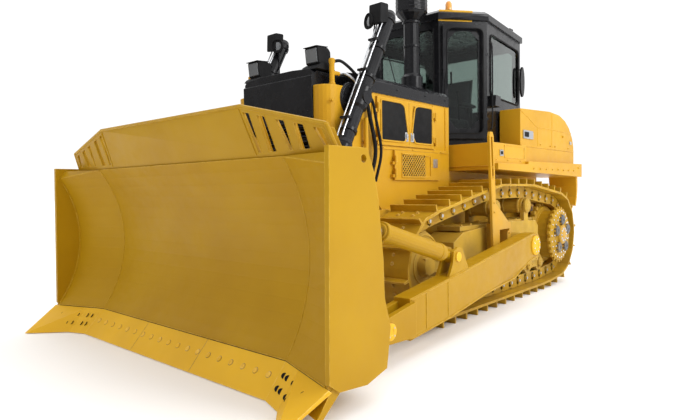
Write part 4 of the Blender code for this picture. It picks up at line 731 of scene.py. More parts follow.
def blade_sides():
    """Welds round the side plates and their lifting eyes, and ribs behind the mouldboard."""
    for tag, side in SIDES:
        welds, ribs = Build(side), Build(side)
        x = WING_X + 0.02
        ring = arc((-6.08, 1.745), 0.036, 0, 345, 23)
        welds.tube([(x - 0.005, y, z) for y, z in ring], 0.005, 6, True)
        outline = [(-6.415, 1.80), (-6.43, 0.30), (-6.33, 0.225), (-6.07, 0.195), (-5.87, 0.25),
                   (-5.82, 0.52)]
        welds.tube([(x - 0.005, y, z) for y, z in outline], 0.005, 6)
        for rib_x in (0.30, 0.62, 1.20, 1.86, 2.02):
            shift = wing_shift(rib_x + 0.012)
            near = [(arc_y(z, 0.025) + shift, z) for z in (0.60, 0.75, 0.90, 1.05, 1.20, 1.35, 1.45)]
            ribs.prism(near + [(y + 0.10, z) for y, z in near[::-1]], "X", rib_x - 0.012, rib_x + 0.012)
        welds.make("side_plate_welds_" + tag, BLADE_YELLOW, "blade", "blade_yellow")
        ribs.make("blade_ribs_" + tag, BLADE_YELLOW, "blade", "blade_yellow", 0.003)


def spill_guard_details():
    """Rail round the spill guard, standing fins beside its gaps, and braces behind it."""
    base_z, top_z, end_z = BLADE_TOP, 2.185, 1.985
    lean = 0.149 / 0.395

    def at(x, z, out=0.0):
        return Vector((x, -6.20 - lean * (z - base_z) + out, z))

    rail, fins, braces = Build(), Build(), Build()
    outline = [(-2.03, base_z + 0.01), (-1.99, end_z), (-1.152, top_z), (1.152, top_z), (1.99, end_z),
               (2.03, base_z + 0.01)]
    for (x0, z0), (x1, z1) in zip(outline, outline[1:]):
        a, b = at(x0, z0, 0.012), at(x1, z1, 0.012)
        rail.tube([a + (b - a) * s for s in (-0.004, 0.5, 1.004)], 0.0175, 8)
    gaps = ((1.245, 1.257), (1.406, 1.430), (1.600, 1.606), (1.780, 1.790), (1.945, 1.973))
    fall = (top_z - end_z) / (1.99 - 1.152)
    for sign in (-1, 1):
        for top_x, foot_x in gaps:
            high = top_z - 0.03 - fall * (top_x - 1.152)
            low = base_z + 0.035
            edge = [at(sign * top_x, high), at(sign * foot_x, low)]
            inward = Vector((sign * 0.045, 0.085, 0))
            fins.slab([edge[0], edge[1], edge[1] + inward, edge[0] + inward], 0.008)
        fins.tube([at(sign * 1.145, top_z - 0.02, -0.002), at(sign * 1.19, base_z + 0.02, -0.002)], 0.006, 6)
        for x in (0.25, 0.75, 1.12):
            braces.prism([(at(0, 2.10).y + 0.03, 2.10), (-6.02, base_z + 0.002), (-6.17, base_z + 0.002)],
                         "X",
                         sign * x - 0.01, sign * x + 0.01)
    rail.make("spill_rail", BLADE_YELLOW, "blade", "blade_yellow")
    fins.make("spill_fins", BLADE_YELLOW, "blade", "blade_yellow", 0.002)
    braces.make("spill_braces", BLADE_YELLOW, "blade", "blade_yellow", 0.002)


def arm_x(y, out=0.0):
    """X of the push arm's outer face at y."""
    return ARM_OUTER_X + ARM_SPLAY * (ARM_TRUNNION.x - y) + out


def push_arm_details(tag, side):
    """Welds along the arm, its pins, the trunnion cap, and the pins on the blade's lugs."""
    welds, pins, bolts = Build(side), Build(side), Build(side)
    low = [(-4.96, 0.185), (-4.25, 0.245), (-3.40, 0.355), (-2.60, 0.415), (-2.06, 0.582), (-1.82, 0.612)]
    high = [(-4.96, 0.535), (-3.40, 0.725), (-2.01, 0.905), (-1.82, 0.905)]
    for line in (low, high):
        welds.tube([(arm_x(y, 0.001), y, z) for y, z in line], 0.007, 6)
        welds.tube([(arm_x(y, -0.181), y, z) for y, z in line], 0.007, 6)
    welds.tube([(arm_x(-4.70, 0.001), -4.70, 0.225), (arm_x(-4.70, 0.001), -4.70, 0.56)], 0.006, 6)
    for y in (-4.93, -4.28):
        welds.tube([(arm_x(y, 0.001), y, 0.24 if y < -4.5 else 0.26),
                    (arm_x(y, 0.001), y, 0.53 if y < -4.5 else 0.61)],
                   0.005, 6)
    lug_x = 1.59 + ARM_SPLAY * (ARM_TRUNNION.x - ARM_PIN.x)
    pins.turned((lug_x + 0.105, ARM_PIN.x, ARM_PIN.y), (1, 0, 0),
                [(0, 0.075), (0.022, 0.075), (0.03, 0.062), (0.03, 0.03), (0.024, 0.028)], 20)
    bolts.bolt_circle(lug_x + 0.13, ARM_PIN, 0.048, 4, 0.008, 45)
    pins.turned((arm_x(ARM_TRUNNION.x, -0.004), *ARM_TRUNNION), (1, 0, 0),
                [(0, 0.13), (0.022, 0.13), (0.034, 0.115), (0.036, 0.05), (0.03, 0.045)], 24)
    bolts.bolt_circle(arm_x(ARM_TRUNNION.x, 0.026), ARM_TRUNNION, 0.088, 8, 0.011, 22.5)
    brace_x = 1.59 + ARM_SPLAY * (ARM_TRUNNION.x + 4.05)
    for x in (brace_x - 0.095, brace_x + 0.08):
        pins.turned((x, -4.05, 0.83), (1, 0, 0), [(0, 0.05), (0.015, 0.05)], 16)
    welds.make("arm_welds_" + tag, BLADE_YELLOW, "push_frame", "blade_yellow")
    pins.make("arm_pins_" + tag, EDGE_YELLOW, "push_frame", "edge_steel", 0.003)
    bolts.make("arm_bolts_" + tag, SILVER, "push_frame", "rod_chrome")
    knuckle = Build(side)
    for x in (brace_x - 0.095, brace_x + 0.08):
        knuckle.turned((x, -5.72, 1.30), (1, 0, 0), [(0, 0.05), (0.015, 0.05)], 16)
    for dx in (-0.10, 0.085):
        knuckle.turned((LIFT_X + dx, *LIFT_EYE), (1, 0, 0), [(0, 0.05), (0.015, 0.05)], 16)
    knuckle.make("blade_pins_" + tag, EDGE_YELLOW, "blade", "edge_steel", 0.002)


def brace_details():
    """Collars on the brace, and collars and pipes on the tilt cylinder."""
    bracket, eye = Vector((-4.05, 0.83)), Vector((-5.72, 1.30))
    along = (eye - bracket).normalized()
    x = 1.59 + ARM_SPLAY * (ARM_TRUNNION.x - bracket.x)
    direction = (0, along.x, along.y)
    tube = Build()
    for distance, radius in ((0.24, 0.092), (1.18, 0.094)):
        tube.turned((x, *(bracket + along * distance)), direction, [(0, radius - 0.006), (0.008, radius),
                                                                    (0.05, radius),
                                                                    (0.058, radius - 0.006)], 20)
    tube.make("brace_collars", BLADE_YELLOW, "brace_tube", "blade_yellow")
    tilt = Build(-1)
    for distance, radius in ((0.24, 0.112), (0.66, 0.110), (1.05, 0.114)):
        tilt.turned((x, *(bracket + along * distance)), direction, [(0, radius - 0.006), (0.006, radius),
                                                                    (0.04, radius),
                                                                    (0.046, radius - 0.006)], 20)
    top = Vector((0, 0.10))
    for dx in (-0.04, 0.04):
        a, b = bracket + along * 0.26 + top, bracket + along * 0.98 + top
        tilt.hose([(x + dx, a.x, a.y), (x + dx, *(a.lerp(b, 0.5) + Vector((0, 0.02)))), (x + dx, b.x, b.y)],
                  0.013)
    tilt.make("tilt_pipes", DULL_BLACK, "tilt_barrel", "gloss_black")


# ------------------------------------------------------------ lift cylinders
def lift_details(tag, side):
    """Pipes, clamps, trunnion yoke, and the lamps on a bracket at the cylinder's head."""
    body = "lift_barrel_" + tag
    up = (LIFT_TRUNNION - LIFT_EYE).normalized()
    square = Vector((-up.y, up.x))
    black, pipes, lamps, lens = Build(side), Build(side), Build(side), Build(side)

    def at(distance, out=0.0, x=LIFT_X):
        point = LIFT_TRUNNION + up * distance - square * out
        return Vector((x, point.x, point.y))

    direction = (0, up.x, up.y)
    for distance in (-0.62, -0.42, 0.24, 0.62, 1.02):
        black.band(at(distance), direction, [(0, LIFT_RADIUS), (0.004, LIFT_RADIUS + 0.012),
                                             (0.04, LIFT_RADIUS + 0.012), (0.044, LIFT_RADIUS)],
                                             LIFT_RADIUS - 0.012)
    black.band(at(-0.14), direction,
               [(0, LIFT_RADIUS), (0.03, LIFT_RADIUS + 0.024), (0.25, LIFT_RADIUS + 0.024),
                                      (0.28, LIFT_RADIUS)], LIFT_RADIUS - 0.012)
    for x in (LIFT_X - 0.035, LIFT_X + 0.035):
        pipes.hose([at(-0.50, -0.08, x), at(-0.45, -0.096, x), at(0.2, -0.096, x), at(0.98, -0.096, x),
                    at(1.03, -0.08, x)], 0.008)
    pipes.hose([at(-0.52, 0.08), at(-0.46, 0.098), at(0.1, 0.098), at(0.60, 0.098), at(0.64, 0.08)], 0.007)
    for distance in (-0.30, 0.30, 0.70):
        black.box(LIFT_X - 0.06, LIFT_X + 0.06, at(distance, -0.13).y, at(distance, -0.08).y,
                  at(distance, -0.10).z - 0.012, at(distance, -0.10).z + 0.012)
    crown = at(LIFT_ABOVE - 0.04)
    black.box(LIFT_X - 0.03, LIFT_X + 0.03, crown.y - 0.20, crown.y - 0.075, crown.z - 0.05, crown.z - 0.01)
    for x, y in ((LIFT_X - 0.085, crown.y - 0.16), (LIFT_X - 0.03, crown.y - 0.13)):
        black.bar((x, y, crown.z - 0.62), (x, y, crown.z - 0.06), 0.009, 6)
    black.bar((LIFT_X - 0.085, crown.y - 0.16, crown.z - 0.62),
              (LIFT_X - 0.01, crown.y - 0.27, crown.z - 0.68), 0.009, 6)
    lamps.prism(rounded([(crown.y - 0.24, crown.z - 0.13), (crown.y - 0.10, crown.z - 0.10),
                         (crown.y - 0.09, crown.z + 0.10), (crown.y - 0.23, crown.z + 0.09)], 0.02, 3),
                "X", LIFT_X - 0.10, LIFT_X + 0.06)
    disc = Vector((LIFT_X - 0.12, crown.y - 0.22, crown.z - 0.08))
    facing = Vector((-0.35, -0.93, 0.0))
    lamps.turned(disc - facing * 0.05, facing, [(0, 0.03), (0.015, 0.07), (0.045, 0.088), (0.06, 0.088),
                                                (0.06, 0.078), (0.045, 0.072)], 20)
    lens.turned(disc - facing * 0.012, facing, [(0, 0.073), (0.006, 0.06), (0.010, 0.03)], 20)
    black.make("cylinder_bands_" + tag, BLACK, body, "gloss_black", 0.002)
    pipes.make("cylinder_pipes_" + tag, SILVER, body, "rod_chrome")
    lamps.make("cylinder_lamps_" + tag, DULL_BLACK, body, "gloss_black", 0.003)
    lens.make("cylinder_lenses_" + tag, LENS, body, "cab_glass")
    seat = Build(side)
    x = BEARING_HIGH.x - 0.022
    seat.bolt_circle(x - 0.004, LIFT_TRUNNION, 0.135, 8, 0.013, 22)
    seat.turned((GUARD_HIGH.x - 0.002, *LIFT_TRUNNION), (1, 0, 0),
                [(0, 0.185), (0.012, 0.18), (0.014, 0.172)], 24)
    seat.make("bearing_bolts_" + tag, BLACK, "tractor", "gloss_black")


# ------------------------------------------------------------ hood and engine
SIDE_FACE = 0.7753


def hood_details(tag, side):
    """Black side band, door frames' windows, mesh over a black sheet of painted shade, latches, hoses and
    columns beside the guard.
    """
    black, silver, dark, yellow = Build(side), Build(side), Build(side), Build(side)
    x = 0.745
    black.prism([(-4.37, 2.615), (-2.54, 2.615), (-2.54, 2.645), (-4.37, 2.645)], "X", x, x + 0.012)
    for y in (-4.30, -3.70, -3.10, -2.62):
        black.bolt((HOOD_HIGH.x, y, 2.70), (1, 0, 0), 0.010)
    for y in (-4.17, -2.90, -2.60):
        yellow.box(x - 0.01, x + 0.012, y - 0.025, y + 0.025, 2.02, 2.60)
    yellow.box(x - 0.01, x + 0.012, -4.15, -2.55, 1.995, 2.025)
    for y in (-4.0, -3.4, -2.75):
        yellow.bolt((x + 0.012, y, 2.01), (1, 0, 0), 0.010)
    hoses = ((0.80, 0.022, 0.0), (0.84, 0.016, 0.05))
    for out, radius, shift in hoses:
        dark.hose([(out, -4.30 + shift, 1.62), (out + 0.02, -4.22 + shift, 1.95), (out, -4.28 + shift, 2.30),
                   (out + 0.01, -4.38 + shift, 2.52), (out, -4.50, 2.47)], radius)
    dark.hose([(0.665, -4.72, 2.88), (0.69, -4.62, 2.89), (0.73, -4.48, 2.80), (0.785, -4.38, 2.66),
               (0.80, -4.34, 2.48)], 0.017)
    silver.tube(smooth_path([(0.67, -4.64, 2.76), (0.69, -4.56, 2.77), (0.74, -4.46, 2.70),
                             (0.79, -4.37, 2.52)]),
                0.015, 8)
    yellow.bar((0.80, -4.36, 1.45), (0.80, -4.36, 2.31), 0.026, 10)
    black.make("hood_bands_" + tag, BLACK, "tractor", "gloss_black", 0.002)
    yellow.make("hood_frames_" + tag, YELLOW, "tractor", "hull_yellow", 0.003)
    dark.make("engine_hoses_" + tag, DULL_BLACK, "tractor", "gloss_black")
    silver.make("engine_pipes_" + tag, SILVER, "tractor", "rod_chrome")
    for kind, glass_outline, latch in (
            ("front",
             [(-4.06, 2.09), (-3.60, 2.09), (-3.53, 2.20), (-3.60, 2.52), (-3.68, 2.55), (-4.06, 2.55)],
             (-3.56, 2.155)),
            ("rear",
             [(-3.45, 2.20), (-3.38, 2.09), (-2.99, 2.09), (-2.99, 2.55), (-3.30, 2.55), (-3.38, 2.52)],
             (-3.44, 2.155))):
        body = "hood_door_" + kind + "_" + tag
        frame_build, window, fitting = Build(side), Build(side), Build(side)
        outline = rounded(glass_outline, 0.035, 4)
        window.prism(outline, "X", SIDE_FACE - 0.010, SIDE_FACE + 0.006)
        frame_build.tube([(SIDE_FACE + 0.004, y, z) for y, z in outline], 0.011, 6, True)
        y, z = latch
        fitting.prism(rounded([(y - 0.035, z - 0.055), (y + 0.035, z - 0.055), (y + 0.035, z + 0.055),
                               (y - 0.035, z + 0.055)], 0.015, 3), "X", SIDE_FACE - 0.002, SIDE_FACE + 0.008)
        fitting.prism(rounded([(y - 0.016, z - 0.035), (y + 0.016, z - 0.035), (y + 0.016, z + 0.035),
                               (y - 0.016, z + 0.035)], 0.01, 3), "X", SIDE_FACE + 0.006, SIDE_FACE + 0.020)
        window.make("door_window_" + kind + "_" + tag, DULL_BLACK, body, "gloss_black")
        frame_build.make("door_rim_" + kind + "_" + tag, YELLOW, body, "hull_yellow")
        fitting.make("door_latch_" + kind + "_" + tag, SILVER, body, "rod_chrome", 0.002)
    body = "panel_door_" + tag
    shade_sheet, mesh, fitting = Build(side), Build(side), Build(side)
    y0, y1, z0, z1 = -3.66, -3.16, 1.675, 1.955
    # black sheet under the mesh wires: painted shade standing in for the dark space seen through the mesh
    shade_sheet.box(SIDE_FACE - 0.012, SIDE_FACE + 0.002, y0, y1, z0, z1)
    pitch = 0.05
    rows = int((y1 - y0 + z1 - z0) / pitch)
    for k in range(1, rows):
        offset = k * pitch
        a = (y0 + max(0.0, offset - (z1 - z0)), z0 + min(offset, z1 - z0))
        b = (y0 + min(offset, y1 - y0), z0 + max(0.0, offset - (y1 - y0)))
        if (Vector(a) - Vector(b)).length > 0.03:
            for flip in (False, True):
                c = [(y1 - (y - y0) if flip else y, z) for y, z in (a, b)]
                mesh.bar((SIDE_FACE + 0.004, *c[0]), (SIDE_FACE + 0.004, *c[1]), 0.0055, 5)
    mesh.tube([(SIDE_FACE + 0.004, y, z) for y, z in ((y0, z0), (y1, z0), (y1, z1), (y0, z1))], 0.010, 6,
              True)
    fitting.box(SIDE_FACE, SIDE_FACE + 0.010, -2.97, -2.87, 1.80, 1.91)
    fitting.box(SIDE_FACE + 0.008, SIDE_FACE + 0.018, -2.95, -2.89, 1.82, 1.89)
    shade_sheet.make("mesh_shade_sheet_" + tag, DULL_BLACK, body, "gloss_black")
    mesh.make("mesh_wires_" + tag, YELLOW, body, "hull_yellow")
    fitting.make("panel_latches_" + tag, SILVER, body, "rod_chrome", 0.002)


def guard_details():
    """Front cap, louvres, head lamps on their brackets, and the yellow columns beside them."""
    cap, louvres, lamps, lens, yellow = Build(), Build(), Build(), Build(), Build()
    front, w = GRILLE_LOW.y, GRILLE_HIGH.x
    cap.prism([(-w + 0.01, 2.60), (-w + 0.01, 2.76), (-w + 0.05, 2.795), (-0.25, 2.812), (0.25, 2.812),
               (w - 0.05, 2.795), (w - 0.01, 2.76), (w - 0.01, 2.60)], "Y", -4.925, -4.36)
    cap.prism([(-4.94, 2.47), (-4.925, 2.60), (-4.90, 2.62), (-4.80, 2.62), (-4.80, 2.47)], "X", -w, w)
    for k in range(20):
        z = 1.26 + k * 0.052
        louvres.prism([(front - 0.012, z), (front + 0.03, z + 0.022), (front + 0.03, z + 0.030),
                       (front - 0.012, z + 0.010)], "X", -w + 0.05, w - 0.05)
    for x in (-w + 0.02, w - 0.05, -0.015):
        louvres.box(x, x + 0.03, front - 0.018, front + 0.03, 1.22, 2.30)
    for k in range(13):
        cap.turned((-w + 0.06 + k * (2 * w - 0.12) / 12, front + 0.001, 2.36), (0, -1, 0),
                   [(0, 0.008), (0.008, 0.006)], 8)
    for side in (1, -1):
        x = side * 0.475
        lamps.prism(rounded([(-4.84, 2.86), (-4.66, 2.85), (-4.66, 3.00), (-4.70, 3.04), (-4.86, 3.03)],
                            0.02, 3),
                    "X", x - 0.095, x + 0.095)
        lamps.prism([(-4.88, 3.028), (-4.70, 3.045), (-4.70, 3.052), (-4.88, 3.036)], "X", x - 0.10, x + 0.10)
        lens.prism([(-4.855, 2.875), (-4.83, 2.87), (-4.83, 3.01), (-4.865, 3.015)], "X", x - 0.08, x + 0.08)
        lamps.prism([(-4.90, 2.795), (-4.60, 2.795), (-4.64, 2.83), (-4.68, 2.855), (-4.82, 2.86),
                     (-4.87, 2.83)],
                    "X", x - 0.12, x + 0.12)
        yellow.turned((side * 0.66, -4.74, 2.60), (0, 0, 1),
                      [(0, 0.036), (0.05, 0.036), (0.06, 0.028), (0.25, 0.028),
                                                             (0.27, 0.034), (0.30, 0.034), (0.31, 0.02)], 16)
        yellow.tube(smooth_path([(side * 0.66, -4.74, 2.74), (side * 0.665, -4.70, 2.76),
                                 (side * 0.67, -4.64, 2.76)]),
                    0.022, 10)
        for y in (-4.85, -4.35):
            for z in (0.85, 1.15, 1.6, 2.05, 2.45):
                yellow.bolt((side * GUARD_HIGH.x, y, z), (side, 0, 0), 0.014)
    cap.make("front_cap", BLACK, "tractor", "gloss_black", 0.008)
    louvres.make("front_louvres", BLACK, "tractor", "gloss_black", 0.001)
    lamps.make("head_lamps", DULL_BLACK, "tractor", "gloss_black", 0.006)
    lens.make("head_lamp_lenses", LENS, "tractor", "cab_glass", 0.002)
    yellow.make("guard_fittings", YELLOW, "tractor", "hull_yellow", 0.003)


def stack_details():
    """Clamps, rain ring and fins on the air stack; exhaust outlet beside it."""
    black, dark = Build(), Build()
    for z, radius in ((3.00, 0.118), (3.42, 0.118), (3.74, 0.125)):
        black.turned((STACK_X, STACK_Y, z), (0, 0, 1), [(0, radius - 0.008), (0.006, radius), (0.03, radius),
                                                        (0.036, radius - 0.008)], 28)
    for z in (3.885, 3.93, 3.98, 4.03):
        black.turned((STACK_X, STACK_Y, z), (0, 0, 1),
                     [(0, 0.20), (0.004, 0.2145), (0.012, 0.2145), (0.016, 0.20)], 32)
    for i in range(24):
        a = 2 * math.pi * i / 24
        near = Vector((STACK_X + 0.12 * math.cos(a), STACK_Y + 0.12 * math.sin(a), 3.80))
        far = Vector((STACK_X + 0.185 * math.cos(a), STACK_Y + 0.185 * math.sin(a), 3.865))
        dark.bar(near, far, 0.006, 5)
    black.turned((STACK_X, STACK_Y, 2.832), (0, 0, 1),
                 [(0, 0.158), (0.05, 0.158), (0.055, 0.145), (0.20, 0.145),
                                                        (0.22, 0.125), (0.24, 0.115)], 28)
    black.turned((STACK_X - 0.62, STACK_Y + 0.05, 2.81), (0, 0, 1), [(0, 0.13), (0.03, 0.13), (0.06, 0.085),
                                                                    (0.55, 0.075), (0.62, 0.09),
                                                                    (0.62, 0.06)], 24)
    black.make("stack_rings", BLACK, "tractor", "gloss_black")
    dark.make("stack_fins", DULL_BLACK, "tractor", "gloss_black")


# ------------------------------------------------------------ cab
def wall_point(a, b, u, z, out):
    """Point on a cab wall: u along it from a, z up, out in front of it."""
    along = (b - a).normalized()
    outward = Vector((along.y, -along.x))
    spot = a + along * u + outward * out
    return Vector((spot.x, spot.y, z))


def cab_details(tag, side):
    """Door leaf, rubber seals, handle, grab rail, lamp box and mirror of one side of the cab."""
    body = "cab_door_" + tag
    a, b, c = CAB_A, CAB_B, CAB_C
    length = (b - a).length
    lean = [(0.075, 2.29), (length - 0.08, 2.29), (length - 0.08, 3.73), (0.105, 3.73), (0.095, 3.12),
            (0.065, 3.02)]
    inner = rounded(lean, 0.09, 5)
    outer = rounded([(0.045, 2.22), (length - 0.045, 2.22), (length - 0.045, 3.785), (0.045, 3.785)], 0.03, 4)
    panel("door_leaf_" + tag, [outer, inner], 0.012, wall_matrix(a, b, 0.050), BLACK, body,
          0.003, side)
    seal, silver, black = Build(side), Build(side), Build(side)
    seal.tube([wall_point(a, b, u, z, 0.055) for u, z in inner], 0.010, 6, True)
    black.bar(wall_point(a, b, 0.15, 2.95, 0.075), wall_point(a, b, 0.15, 3.12, 0.075), 0.012, 8)
    black.bar(wall_point(a, b, 0.15, 2.96, 0.05), wall_point(a, b, 0.15, 2.96, 0.08), 0.010, 8)
    black.bar(wall_point(a, b, 0.15, 3.11, 0.05), wall_point(a, b, 0.15, 3.11, 0.08), 0.010, 8)
    black.make("door_handle_" + tag, DULL_BLACK, body, "gloss_black")
    seal.make("door_seal_" + tag, DULL_BLACK, body, "gloss_black")
    wall = Build(side)
    side_length = (c - b).length
    glass_side = rounded([(0.12, 2.84), (side_length - 0.10, 2.84), (side_length - 0.10, 3.70),
                          (0.12, 3.70)], 0.08, 5)
    wall.tube([wall_point(b, c, u, z, 0.004) for u, z in glass_side], 0.013, 6, True)
    front = Build(side)
    half = [(0.0, 2.84), (0.47, 2.84), (0.47, 3.74), (0.0, 3.74)]
    front.tube([(u, a.y - 0.004, z) for u, z in half], 0.012, 6)
    wall.make("side_seal_" + tag, DULL_BLACK, "tractor", "gloss_black")
    front.make("front_seal_" + tag, DULL_BLACK, "tractor", "gloss_black")
    rail = smooth_path([wall_point(b, c, 0.045, 2.36, 0.02), wall_point(b, c, 0.045, 2.42, 0.055),
                        wall_point(b, c, 0.045, 2.95, 0.06), wall_point(b, c, 0.045, 3.50, 0.055),
                        wall_point(b, c, 0.045, 3.56, 0.02)])
    silver.tube(rail, 0.011, 8)
    silver.make("cab_rail_" + tag, BLACK, "tractor", "gloss_black")
    black = Build(side)
    lamp_height = 0.15
    lamp_feet = [wall_point(b, c, 0.06, 2.68, 0.0), wall_point(b, c, 0.26, 2.68, 0.0)]
    black.loft([[p + Vector((d, 0, h)) for d, h in ((0, 0), (0.10, 0), (0.11, lamp_height), (0, lamp_height))]
                for p in lamp_feet])
    for z in (3.10, 3.42):
        black.hose([(c.x - 0.02, -0.47, z), (c.x + 0.03, -0.48, z + 0.01), (c.x + 0.05, -0.50, z)], 0.009, 6)
    mirror = [(c.x + 0.040, -0.50 + 0.075 * math.cos(t), 3.22 + 0.24 * math.sin(t))
              for t in (2 * math.pi * i / 20 for i in range(20))]
    black.loft([mirror, [p for p in (tuple(Vector(m) + Vector((0.03, 0, 0))) for m in mirror)]])
    for z in (2.16, 2.20):
        black.tube([wall_point(b, c, 0.02, z, 0.006), wall_point(b, c, side_length - 0.02, z, 0.006)],
                   0.010, 6)
    black.make("cab_fittings_" + tag, BLACK, "tractor", "gloss_black", 0.004)


def cab_top():
    """Visor plate, beacon, rear lamps and gutter on the roof; wipers."""
    yellow, black, amber, lens = Build(), Build(), Build(), Build()
    roof = ROOF_HIGH.z
    eave = [(CAB_A.x, CAB_A.y), (CAB_B.x, CAB_B.y), (CAB_C.x, CAB_C.y), (-CAB_C.x, CAB_C.y),
            (-CAB_B.x, CAB_B.y), (-CAB_A.x, CAB_A.y)]
    black.tube([(x * 1.02, y, 3.862) for x, y in eave], 0.013, 6, True)
    for side in (1, -1):
        a, b = Vector((side * 0.55, -2.45)), Vector((side * 0.86, -2.08))
        yellow.loft([[(a.x, a.y, 3.83), (b.x, b.y, 3.83), (b.x, b.y + 0.02, 3.99), (a.x, a.y + 0.02, 3.99)],
                     [(a.x, a.y + 0.03, 3.84), (b.x, b.y + 0.03, 3.84), (b.x, b.y + 0.05, 3.98),
                      (a.x, a.y + 0.05, 3.98)]])
        black.box(side * 0.70 - 0.06, side * 0.70 + 0.06, -0.62, -0.50, roof - 0.005, roof + 0.09)
        lens.box(side * 0.70 - 0.05, side * 0.70 + 0.05, -0.50, -0.492, roof + 0.01, roof + 0.08)
        for y in (-2.30, -2.02):
            lens.turned((side * (0.60 + (y + 2.30)), y - 0.01, 3.775), (0, -1, 0),
                        [(0, 0.045), (0.015, 0.04)], 14)
    black.turned((0.58, -2.22, roof - 0.01), (0, 0, 1), [(0, 0.07), (0.03, 0.065), (0.035, 0.05)], 16)
    amber.turned((0.58, -2.22, roof + 0.025), (0, 0, 1),
                 [(0, 0.048), (0.09, 0.046), (0.12, 0.03), (0.125, 0.005)], 16)
    black.bar((-0.12, -2.455, 2.90), (-0.30, -2.458, 3.50), 0.008, 6)
    black.bar((0.26, -2.455, 2.90), (0.12, -2.458, 3.50), 0.008, 6)
    yellow.make("roof_visor", YELLOW, "tractor", "hull_yellow", 0.003)
    black.make("roof_fittings", BLACK, "tractor", "gloss_black", 0.004)
    amber.make("beacon", AMBER, "tractor", "hull_yellow")
    lens.make("roof_lamps", LENS, "tractor", "cab_glass", 0.002)


def cushion(name, centre, size, seams, tilt=0.0):
    """Crowned cushion with pulled-in sides and sewn channels across it."""
    form = bmesh.new()
    bmesh.ops.create_grid(form, x_segments=24, y_segments=24, size=1.0)
    lower = bmesh.ops.duplicate(form, geom=form.faces[:])["geom"]
    bottom = {v for v in lower if isinstance(v, bmesh.types.BMVert)}
    for v in form.verts:
        u, w = v.co.x, v.co.y
        rim = (1 - u ** 8) * (1 - w ** 8)
        crown = 0.5 * rim ** 0.45 + 0.18 * (1 - u * u) * (1 - w * w)
        groove = sum(0.10 * math.exp(-((w - s) / 0.05) ** 2) for s in seams) * min(1.0, rim * 2)
        pull = 1 - 0.035 * (1 - abs(w) ** 3) * abs(u) ** 5
        v.co = Vector((u * size[0] / 2 * pull, w * size[1] / 2,
                       size[2] * (-0.42 * rim ** 0.3 if v in bottom else crown - groove * 0.9)))
    bmesh.ops.remove_doubles(form, verts=form.verts, dist=0.0005)
    bmesh.ops.rotate(form, verts=form.verts, matrix=Matrix.Rotation(tilt, 3, "X"))
    bmesh.ops.translate(form, verts=form.verts, vec=centre)
    bmesh.ops.recalc_face_normals(form, faces=form.faces)
    mesh = bpy.data.meshes.new(name)
    form.to_mesh(mesh)
    form.free()
    mesh.shade_smooth()
    mesh.materials.append(SEAT_CLOTH)
    item = add_object(name, mesh)
    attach(item, "tractor")
    return item


def operator_place():
    """Seat cushions, the seat's base, levers and dials."""
    floor = 2.18
    base = Build()
    base.box(-0.19, 0.19, -1.44, -1.01, floor + 0.002, floor + 0.05)
    for k in range(5):
        z = floor + 0.05 + k * 0.045
        base.box(-0.175 + 0.008 * (k % 2), 0.175 - 0.008 * (k % 2), -1.42, -1.03, z, z + 0.045)
    for x in (-0.30, 0.30):
        base.box(x - 0.02, x + 0.02, -1.15, -1.05, floor + 0.32, floor + 0.62)
    piece = base.make("seat_base", DULL_BLACK, "tractor", "gloss_black", 0.006)
    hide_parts("seat")
    cushion("seat_cushion", (0, -1.27, floor + 0.37), (0.54, 0.56, 0.14), (-0.3, 0.35), 0.04)
    cushion("seat_back", (0, -0.955, floor + 0.77), (0.50, 0.68, 0.12), (-0.35, 0.05, 0.45), math.radians(82))
    for x in (-0.30, 0.30):
        cushion("arm_pad_L" if x > 0 else "arm_pad_R", (x, -1.20, floor + 0.65), (0.10, 0.44, 0.06), ())
    levers = Build()
    for x in (-0.34, 0.34):
        levers.bar((x, -1.52, floor + 0.40), (x * 1.02, -1.56, floor + 0.78), 0.012, 8)
        levers.turned((x * 1.02, -1.56, floor + 0.76), (0, 0, 1),
                      [(0, 0.015), (0.02, 0.028), (0.07, 0.026), (0.08, 0.01)], 12)
    for x in (-0.15, 0.0, 0.15):
        levers.turned((x, -2.12, floor + 0.79), (0, 0.6, 0.8), [(0, 0.055), (0.012, 0.052), (0.012, 0.045)],
                      18)
    levers.make("levers", DULL_BLACK, "tractor", "gloss_black")


